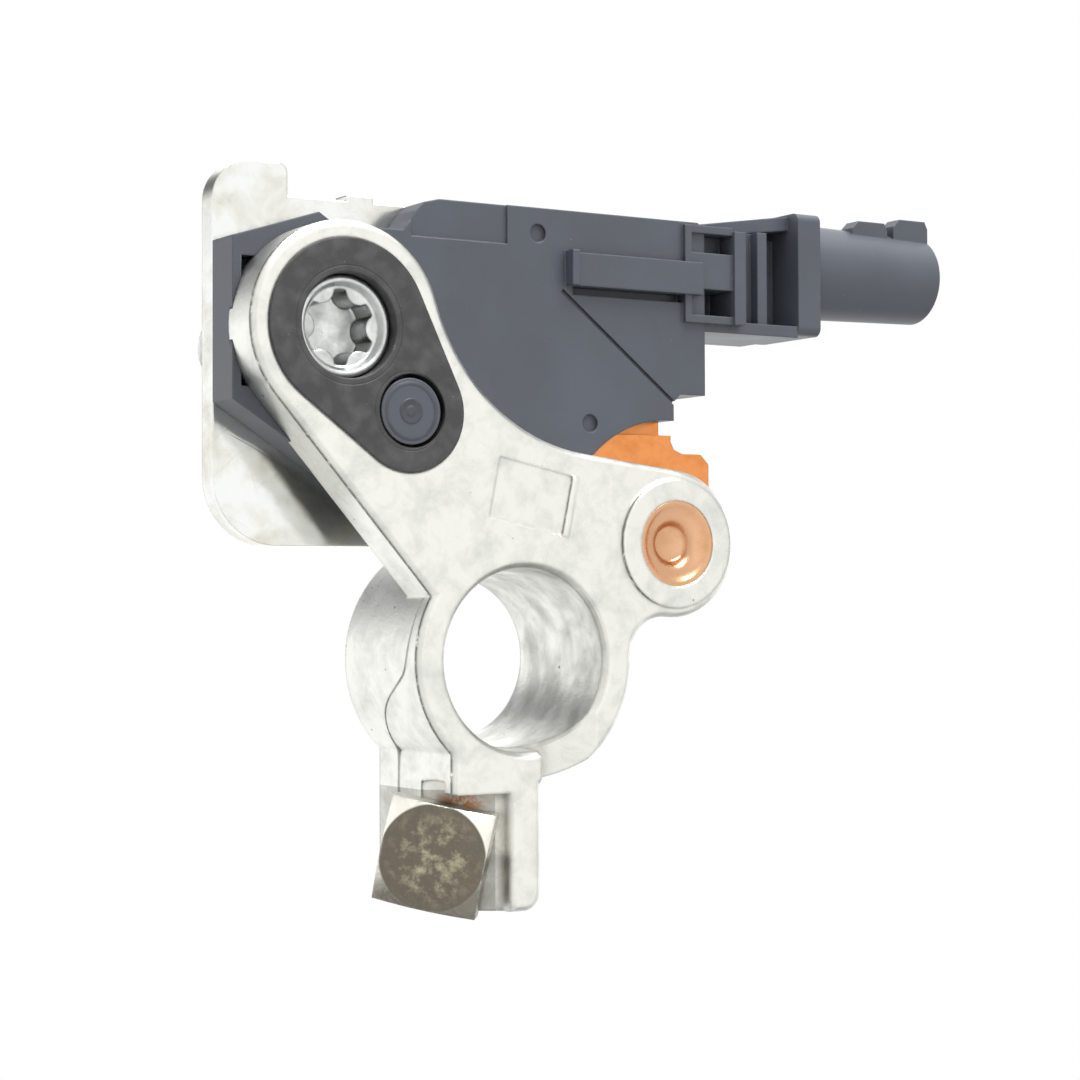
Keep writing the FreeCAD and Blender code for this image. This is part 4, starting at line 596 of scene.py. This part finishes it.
class CLAMP_OT_stage(ClampStep):
    """Pale floor, soft lights and the camera of the photograph"""
    bl_idname = "clamp.stage"
    bl_label = "Stage and camera"

    def execute(self, context):
        c = context.scene.clamp_studio
        bpy.ops.object.select_all(action="DESELECT")
        bpy.ops.mesh.primitive_plane_add(size=2 * c.floor_half, location=(0, 0, -c.floor_drop))
        floor = context.object
        floor.name = "Floor"
        bpy.ops.object.transform_apply(location=True, rotation=True, scale=True)
        # Matt painted board: plain and pale, with a barely seen tone.
        finish, tree, shader, mm = start_finish("Matt_painted_board", Roughness=0.9)
        tone = add(tree, "TexNoise", {"Vector": mm, "Scale": 0.002, "Detail": 2.0})
        link(tree, shader, Base_Color=mix(tree, tone, c.floor_colour, linear("#ececea")))
        coat("Floor", finish)

        world = bpy.data.worlds.new("Studio")
        context.scene.world = world
        world.use_nodes = True
        tree = world.node_tree
        tree.nodes.clear()
        place = add(tree, "TexCoord")
        parts = add(tree, "SeparateXYZ", {"Vector": place.outputs["Generated"]})
        # A white tent that is darker low down beside the camera, and behind one open flap.
        low = add(tree, "MapRange", {"Value": parts.outputs["Y"], "From Min": -0.2, "From Max": -0.62})
        near = add(tree, "MapRange", {"Value": parts.outputs["Z"], "From Min": 0.45, "From Max": 0.15})
        shade = add(tree, "Math", {0: low, 1: near}, operation="MULTIPLY")
        tent = mix(tree, shade, linear("#fbfbf9"), linear("#7d8286"))
        flap = add(tree, "VectorMath", {0: place.outputs["Generated"], 1: (0.24, 0.47, 0.85)},
                   operation="DOT_PRODUCT")
        open_flap = add(tree, "MapRange", {"Value": flap.outputs["Value"], "From Min": 0.93,
                                           "From Max": 0.99})
        tent = mix(tree, open_flap, tent, linear("#66676a"))
        path = add(tree, "LightPath")
        seen = add(tree, "Background", {"Color": linear("#ffffff"), "Strength": 1.0})
        lit = add(tree, "Background", {"Color": tent, "Strength": c.tent})
        air = add(tree, "MixShader", {0: path.outputs["Is Camera Ray"], 1: lit, 2: seen})
        add(tree, "OutputWorld", {"Surface": air})

        for name, spot, size, power in (
            ("Key", (-0.05, 0.50, -0.12), 0.36, c.key),
            ("Fill", (0.42, 0.05, 0.20), 0.30, c.fill),
            ("Back", (-0.30, 0.10, 0.40), 0.30, c.fill),
        ):
            lamp = bpy.data.lights.new(name, "AREA")
            lamp.energy, lamp.size = power, size
            light = bpy.data.objects.new(name, lamp)
            light.location = spot
            light.rotation_mode = "QUATERNION"
            light.rotation_quaternion = (-Vector(spot)).to_track_quat("-Z", "Y")
            context.scene.collection.objects.link(light)

        lens = bpy.data.cameras.new("Camera")
        lens.lens, lens.sensor_width = 83.1, 36.0
        lens.clip_start, lens.clip_end = 0.01, 20.0
        camera = bpy.data.objects.new("Camera", lens)
        context.scene.collection.objects.link(camera)
        back = Vector((0.5244, -0.0267, -0.8511)).normalized()
        up = Vector((0.0109, 0.9996, -0.0246))
        right = up.cross(back).normalized()
        turn = Matrix((right, back.cross(right), back)).transposed().to_4x4()
        camera.matrix_world = Matrix.Translation((0.1240, 0.0051, -0.2035)) @ turn
        context.scene.camera = camera
        context.scene.view_settings.view_transform = "Standard"
        return {"FINISHED"}


class CLAMP_OT_casting(ClampStep):
    """Tinned casting finish on the clamp"""
    bl_idname = "clamp.casting"
    bl_label = "Cast clamp"

    def execute(self, context):
        coat("clamp_body", casting_finish(context.scene.clamp_finishes))
        return {"FINISHED"}


class CLAMP_OT_sheet(ClampStep):
    """Rolled sheet finish on the ground plate"""
    bl_idname = "clamp.sheet"
    bl_label = "Ground plate"

    def execute(self, context):
        coat("ground_plate", sheet_finish(context.scene.clamp_finishes))
        return {"FINISHED"}


class CLAMP_OT_copper(ClampStep):
    """Copper ends, rivet and resistance strip of the shunt"""
    bl_idname = "clamp.copper"
    bl_label = "Shunt and rivet"

    def execute(self, context):
        c = context.scene.clamp_finishes
        copper = copper_finish("Bare_stamped_copper", c.copper, c.copper_aged, 0.25)
        for name in ("shunt_battery_end", "shunt_ground_end"):
            coat(name, copper)
        coat("shunt_resistance_strip", steel_finish(
            "Rolled_manganese_alloy", c.strip, c.strip, c.copper_aged, 0.0, 0.35))
        return {"FINISHED"}


class CLAMP_OT_housing(ClampStep):
    """Moulded finishes of the housing, its cover and the insert"""
    bl_idname = "clamp.housing"
    bl_label = "Housing and insert"

    def execute(self, context):
        c = context.scene.clamp_finishes
        housing = plastic_finish("Moulded_glass_filled_polyester", c.housing, 0.4, 0.012, 0.5, 0.1, 1.18)
        coat("housing_base", housing)
        coat("housing_cover", housing)
        coat("insulating_insert", plastic_finish(
            "Moulded_glass_filled_polyamide", c.insert, 0.5, 0.03, 0.6, 0.5, 2.1))
        return {"FINISHED"}


class CLAMP_OT_stud(ClampStep):
    """Ground stud with its M8 thread cut"""
    bl_idname = "clamp.stud"
    bl_label = "Ground stud"

    def execute(self, context):
        t, c = context.scene.clamp_threads, context.scene.clamp_finishes
        low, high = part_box("ground_stud")
        plate_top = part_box("ground_plate")[1].z / MM
        # The driving end lies 1.1 mm below the insert's face here.
        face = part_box("insulating_insert")[0].z / MM + 1.1
        x, y = (low.x + high.x) / 2, (low.y + high.y) / 2
        stud = lathe("Ground_stud", (
            (3.75, face + 0.84), (4.12, face + 0.12), (4.26, face), (4.44, face), (4.66, face + 0.08),
            (4.78, face + 0.24), (4.8, face + 0.45), (4.8, 4.98), (6.08, 5.0), (6.2, 5.12),
            (6.2, 7.08), (6.08, 7.2), (4.6, 7.22), (4.6, plate_top - 0.15), (4.45, plate_top),
            (3.3, plate_top + 0.02)), 2 * t.steps)
        floor = face + 4.2
        socket = lathe("Socket", ((3.55, face), (3.55, floor - 0.12), (3.42, floor)), 12 * 16)
        # Six narrow lobes are left between six round teeth; two teeth lie along X.
        tooth, middle = 1.35, 4.0
        for vertex in socket.data.vertices:
            angle, away = math.atan2(vertex.co.y, vertex.co.x), vertex.co.to_2d().length
            off = angle - round(angle / (math.pi / 3)) * math.pi / 3
            rest = tooth ** 2 - (middle * math.sin(off)) ** 2
            near = (middle * math.cos(off) - math.sqrt(rest)) * MM if rest > 0 else away
            if 0 < near < away:
                vertex.co.x, vertex.co.y = vertex.co.x * near / away, vertex.co.y * near / away
        carve(stud, socket)
        carve(stud, lathe("Drill_point", ((1.9, floor - 0.1), (1.9, floor), (0.1, floor + 0.35)), 48))
        round_edges(stud, 0.06, 40.0)
        # The M8 thread stands on the part of the stud above the plate.
        thread = stand(screw_thread("Stud_thread", 3.95 * MM, t.stud_pitch,
                                    t.depth_share * t.stud_pitch, high.z - plate_top * MM, 0.8 * MM,
                                    t.steps), (0, 0, plate_top * MM))
        stud = stand(join("Ground_stud", "Stud_thread"), (x, y, 0))
        pick(stud.name)
        bpy.ops.object.shade_smooth_by_angle(angle=math.radians(35))
        coat(stud.name, steel_finish("Tinned_turned_steel", c.stud, c.stud, linear("#6f6a60"),
                                     -0.05, 0.24, (face + 1.1, floor - 0.1)))
        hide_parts("ground_stud")
        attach(stud, "clamp")
        return {"FINISHED"}


class CLAMP_OT_bolt(ClampStep):
    """Clamping bolt with its M6 thread cut"""
    bl_idname = "clamp.bolt"
    bl_label = "Clamping bolt"

    def execute(self, context):
        t, c = context.scene.clamp_threads, context.scene.clamp_finishes
        play, head, side, plain, tip = 0.05, 4.2, 10.0, 8.0, 21.0
        bpy.ops.object.select_all(action="DESELECT")
        bpy.ops.mesh.primitive_cube_add(size=side * MM, location=(0, 0, (side / 2 - head - play) * MM))
        bolt = context.object
        bolt.name = "Clamp_bolt"
        bpy.ops.object.transform_apply(location=True, rotation=False, scale=False)
        cut_away(bolt, (0, 0, -play * MM), (0, 0, 1))
        # The corners are turned down outside a flat disc.
        carve(bolt, lathe("Corners", ((5.1, -head - play), (5.1 + 5 / 0.6, 5 - head - play)), 96),
              "INTERSECT")
        round_edges(bolt, 0.16)
        shank = lathe("Shank", ((3.4, -play - 0.4), (3.3, -play), (2.98, 0.2), (2.95, 0.4),
                                (2.95, plain - 0.4), (2.4, plain)), t.steps)
        thread = stand(screw_thread("Bolt_thread", 2.95 * MM, t.bolt_pitch,
                                    t.depth_share * t.bolt_pitch, (tip - plain) * MM, 0.7 * MM,
                                    t.steps), (0, 0, (plain - 0.05) * MM))
        bolt = stand(join("Clamp_bolt", "Shank", "Bolt_thread"), SEAT, ALONG_BOLT, math.radians(12.0))
        pick(bolt.name)
        bpy.ops.object.shade_smooth_by_angle(angle=math.radians(22))
        coat(bolt.name, bolt_finish(c))
        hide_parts("clamp_bolt")
        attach(bolt, "bolt")
        return {"FINISHED"}


class CLAMP_OT_nut(ClampStep):
    """Zinc finish on the washer and the nut"""
    bl_idname = "clamp.nut"
    bl_label = "Washer and nut"

    def execute(self, context):
        c = context.scene.clamp_finishes
        zinc = steel_finish("Zinc_plated_steel", c.zinc, c.zinc, c.rust, -0.02, 0.3)
        for name in ("clamp_washer", "clamp_nut"):
            coat(name, zinc)
        return {"FINISHED"}


class CLAMP_OT_inside(ClampStep):
    """Finishes of the board, its parts and the pins"""
    bl_idname = "clamp.inside"
    bl_label = "Board and pins"

    def execute(self, context):
        c = context.scene.clamp_finishes
        coat("circuit_board", board_finish(c))
        chip = plastic_finish("Moulded_epoxy_package", c.chip, 0.5, 0.01, 0.1)
        ceramic = plastic_finish("Fired_barium_titanate", c.ceramic, 0.4, 0.01, 0.1)
        pin = steel_finish("Tinned_brass_pin", linear("#dcd8c8"), linear("#e8e0c8"),
                           linear("#7a6a44"), -0.05, 0.2)
        for finish, names in (
            (chip, ("sensor_chip", "line_filter")),
            (ceramic, ("supply_capacitor", "filter_capacitor")),
            (pin, ("sense_post_1", "sense_post_2", "connector_pin_1", "connector_pin_2")),
        ):
            for name in names:
                coat(name, finish)
        return {"FINISHED"}


class CLAMP_OT_marks(ClampStep):
    """Parting ridge on the casting and the gate mark on the peg"""
    bl_idname = "clamp.marks"
    bl_label = "Moulding marks"

    def execute(self, context):
        # The ridge runs along the ring's side, dips to the back and goes on down the leg.
        ring, leg_x = 12.0, 8.2
        route = [(ring * math.cos(math.radians(a)), ring * math.sin(math.radians(a)), z) for a, z in (
            (29.5, 1.7), (20, 1.8), (10, 1.95), (2, 2.2), (-5, 2.7), (-10, 4.2), (-18.5, 7.3),
            (-27, 9.0), (-38, 10.2), (-45.5, 10.6))]
        route += [(leg_x, -9.4, 10.7), (leg_x, -14.0, 10.9), (leg_x, -18.5, 11.0)]
        line = bpy.data.curves.new("Parting_ridge", "CURVE")
        line.dimensions, line.bevel_depth, line.bevel_resolution = "3D", 0.13 * MM, 1
        spline = line.splines.new("NURBS")
        spline.points.add(len(route) - 1)
        for point, place in zip(spline.points, route):
            point.co = (*[v * MM for v in place], 1.0)
        spline.order_u, spline.use_endpoint_u, spline.resolution_u = 3, True, 6
        ridge = bpy.data.objects.new("Parting_ridge", line)
        context.scene.collection.objects.link(ridge)
        line.use_fill_caps = True
        pick("Parting_ridge")
        bpy.ops.object.convert(target="MESH")
        bpy.ops.object.shade_smooth_by_angle(angle=math.radians(60))
        coat("Parting_ridge", bpy.data.materials["Tinned_die_casting"])
        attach(ridge, "clamp")
        peg_place = (PEG[0] * MM, PEG[1] * MM, 0)
        gate = lathe("Gate_mark", ((0.2, -0.40), (0.42, -0.38), (0.5, -0.32), (0.85, -0.315),
                                   (0.95, -0.36), (1.15, -0.36), (1.25, -0.28)), 48)
        rim = lathe("Peg_rim", ((2.35, -0.28), (2.45, -0.33), (2.75, -0.33), (2.85, -0.28)), 64)
        carve(rim, lathe("Inside", ((2.45, -0.5), (2.45, -0.1)), 64))
        lathe("Peg_skin", ((3.02, -0.2), (3.02, -0.27), (2.97, -0.288)), 64)
        stand(join("Gate_mark", "Peg_rim", "Peg_skin"), peg_place)
        pick("Gate_mark")
        bpy.ops.object.shade_smooth_by_angle(angle=math.radians(30))
        c = context.scene.clamp_finishes
        # The peg's end takes the housing colour darkened to 0.62: painted shade.
        coat("Gate_mark", plastic_finish("Polished_peg_end", [v * 0.62 for v in c.housing],
                                         0.35, 0.01, 0.5, 0.6, 1.5))
        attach(gate, "clamp")
        return {"FINISHED"}


class CLAMP_OT_collars(ClampStep):
    """Lips of the insert that close round the stud and the peg"""
    bl_idname = "clamp.collars"
    bl_label = "Insert lips"

    def execute(self, context):
        low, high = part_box("ground_stud")
        stud_place = ((low.x + high.x) / 2, (low.y + high.y) / 2, 0)
        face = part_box("insulating_insert")[0].z / MM
        for name, place, outer, inner, off in (
            ("Stud_lip", stud_place, 5.5, 4.87, (0, 0)),
            ("Peg_lip", (PEG[0] * MM, PEG[1] * MM, 0), 3.7, 3.42, (-0.26, 0.08)),
        ):
            lip = lathe(name, ((outer, face + 0.005), (outer, face + 2.4)), 96)
            hole = lathe("Hole", ((inner + 0.12, face - 0.2), (inner + 0.12, face),
                                  (inner, face + 0.12), (inner, face + 2.6)), 96)
            carve(lip, stand(hole, (off[0] * MM, off[1] * MM, 0)))
            stand(lip, place)
            pick(name)
            bpy.ops.object.shade_smooth_by_angle(angle=math.radians(35))
            coat(name, bpy.data.materials["Moulded_glass_filled_polyamide"])
            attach(lip, "clamp")
        return {"FINISHED"}


class CLAMP_OT_rivet(ClampStep):
    """Copper rivet with its rounded cup and closing head"""
    bl_idname = "clamp.rivet"
    bl_label = "Lug rivet"

    def execute(self, context):
        c = context.scene.clamp_finishes
        low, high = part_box("lug_rivet")
        face, back = low.z / MM, high.z / MM
        rivet = lathe("Rivet", (
            (0.1, face + 1.68), (1.5, face + 1.68), (1.72, face + 1.6), (1.9, face + 1.35),
            (2.1, face + 1.0), (2.35, face + 0.75), (2.7, face + 0.6), (3.1, face + 0.5),
            (3.45, face + 0.36), (3.7, face + 0.16), (3.92, face + 0.03), (4.05, face),
            (4.25, face + 0.02), (4.25, back - 1.2), (5.2, back - 1.19), (5.4, back - 1.1),
            (5.45, back - 0.9), (5.3, back - 0.35), (4.8, back - 0.12), (3.8, back), (0.1, back)), 96)
        stand(rivet, ((low.x + high.x) / 2, (low.y + high.y) / 2, 0))
        pick("Rivet")
        bpy.ops.object.shade_smooth_by_angle(angle=math.radians(50))
        coat("Rivet", copper_finish("Annealed_copper_rivet", c.rivet, linear("#b98a5c"), 0.2))
        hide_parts("lug_rivet")
        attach(rivet, "clamp")
        return {"FINISHED"}


STEPS = (CLAMP_OT_stage, CLAMP_OT_casting, CLAMP_OT_sheet, CLAMP_OT_copper, CLAMP_OT_housing,
         CLAMP_OT_stud, CLAMP_OT_bolt, CLAMP_OT_nut, CLAMP_OT_inside, CLAMP_OT_marks,
         CLAMP_OT_collars, CLAMP_OT_rivet)


class CLAMP_PT_build(bpy.types.Panel):
    """The clamp's steps in order"""
    bl_label = "Battery cable clamp"
    bl_space_type = "VIEW_3D"
    bl_region_type = "UI"
    bl_category = "Clamp"

    def draw(self, context):
        for step in STEPS:
            self.layout.operator(step.bl_idname)
        for group in (context.scene.clamp_finishes, context.scene.clamp_threads,
                      context.scene.clamp_studio):
            box = self.layout.box()
            for key in group.__annotations__:
                box.prop(group, key)


CLASSES = (ClampFinishes, ClampThreads, ClampStudio, *STEPS, CLAMP_PT_build)


def register():
    for cls in CLASSES:
        bpy.utils.register_class(cls)
    bpy.types.Scene.clamp_finishes = PointerProperty(type=ClampFinishes)
    bpy.types.Scene.clamp_threads = PointerProperty(type=ClampThreads)
    bpy.types.Scene.clamp_studio = PointerProperty(type=ClampStudio)


def unregister():
    del bpy.types.Scene.clamp_finishes, bpy.types.Scene.clamp_threads, bpy.types.Scene.clamp_studio
    for cls in reversed(CLASSES):
        bpy.utils.unregister_class(cls)


def main():
    register()
    for step in STEPS:
        space, name = step.bl_idname.split(".")
        getattr(getattr(bpy.ops, space), name)()


if __name__ == "__main__":
    main()
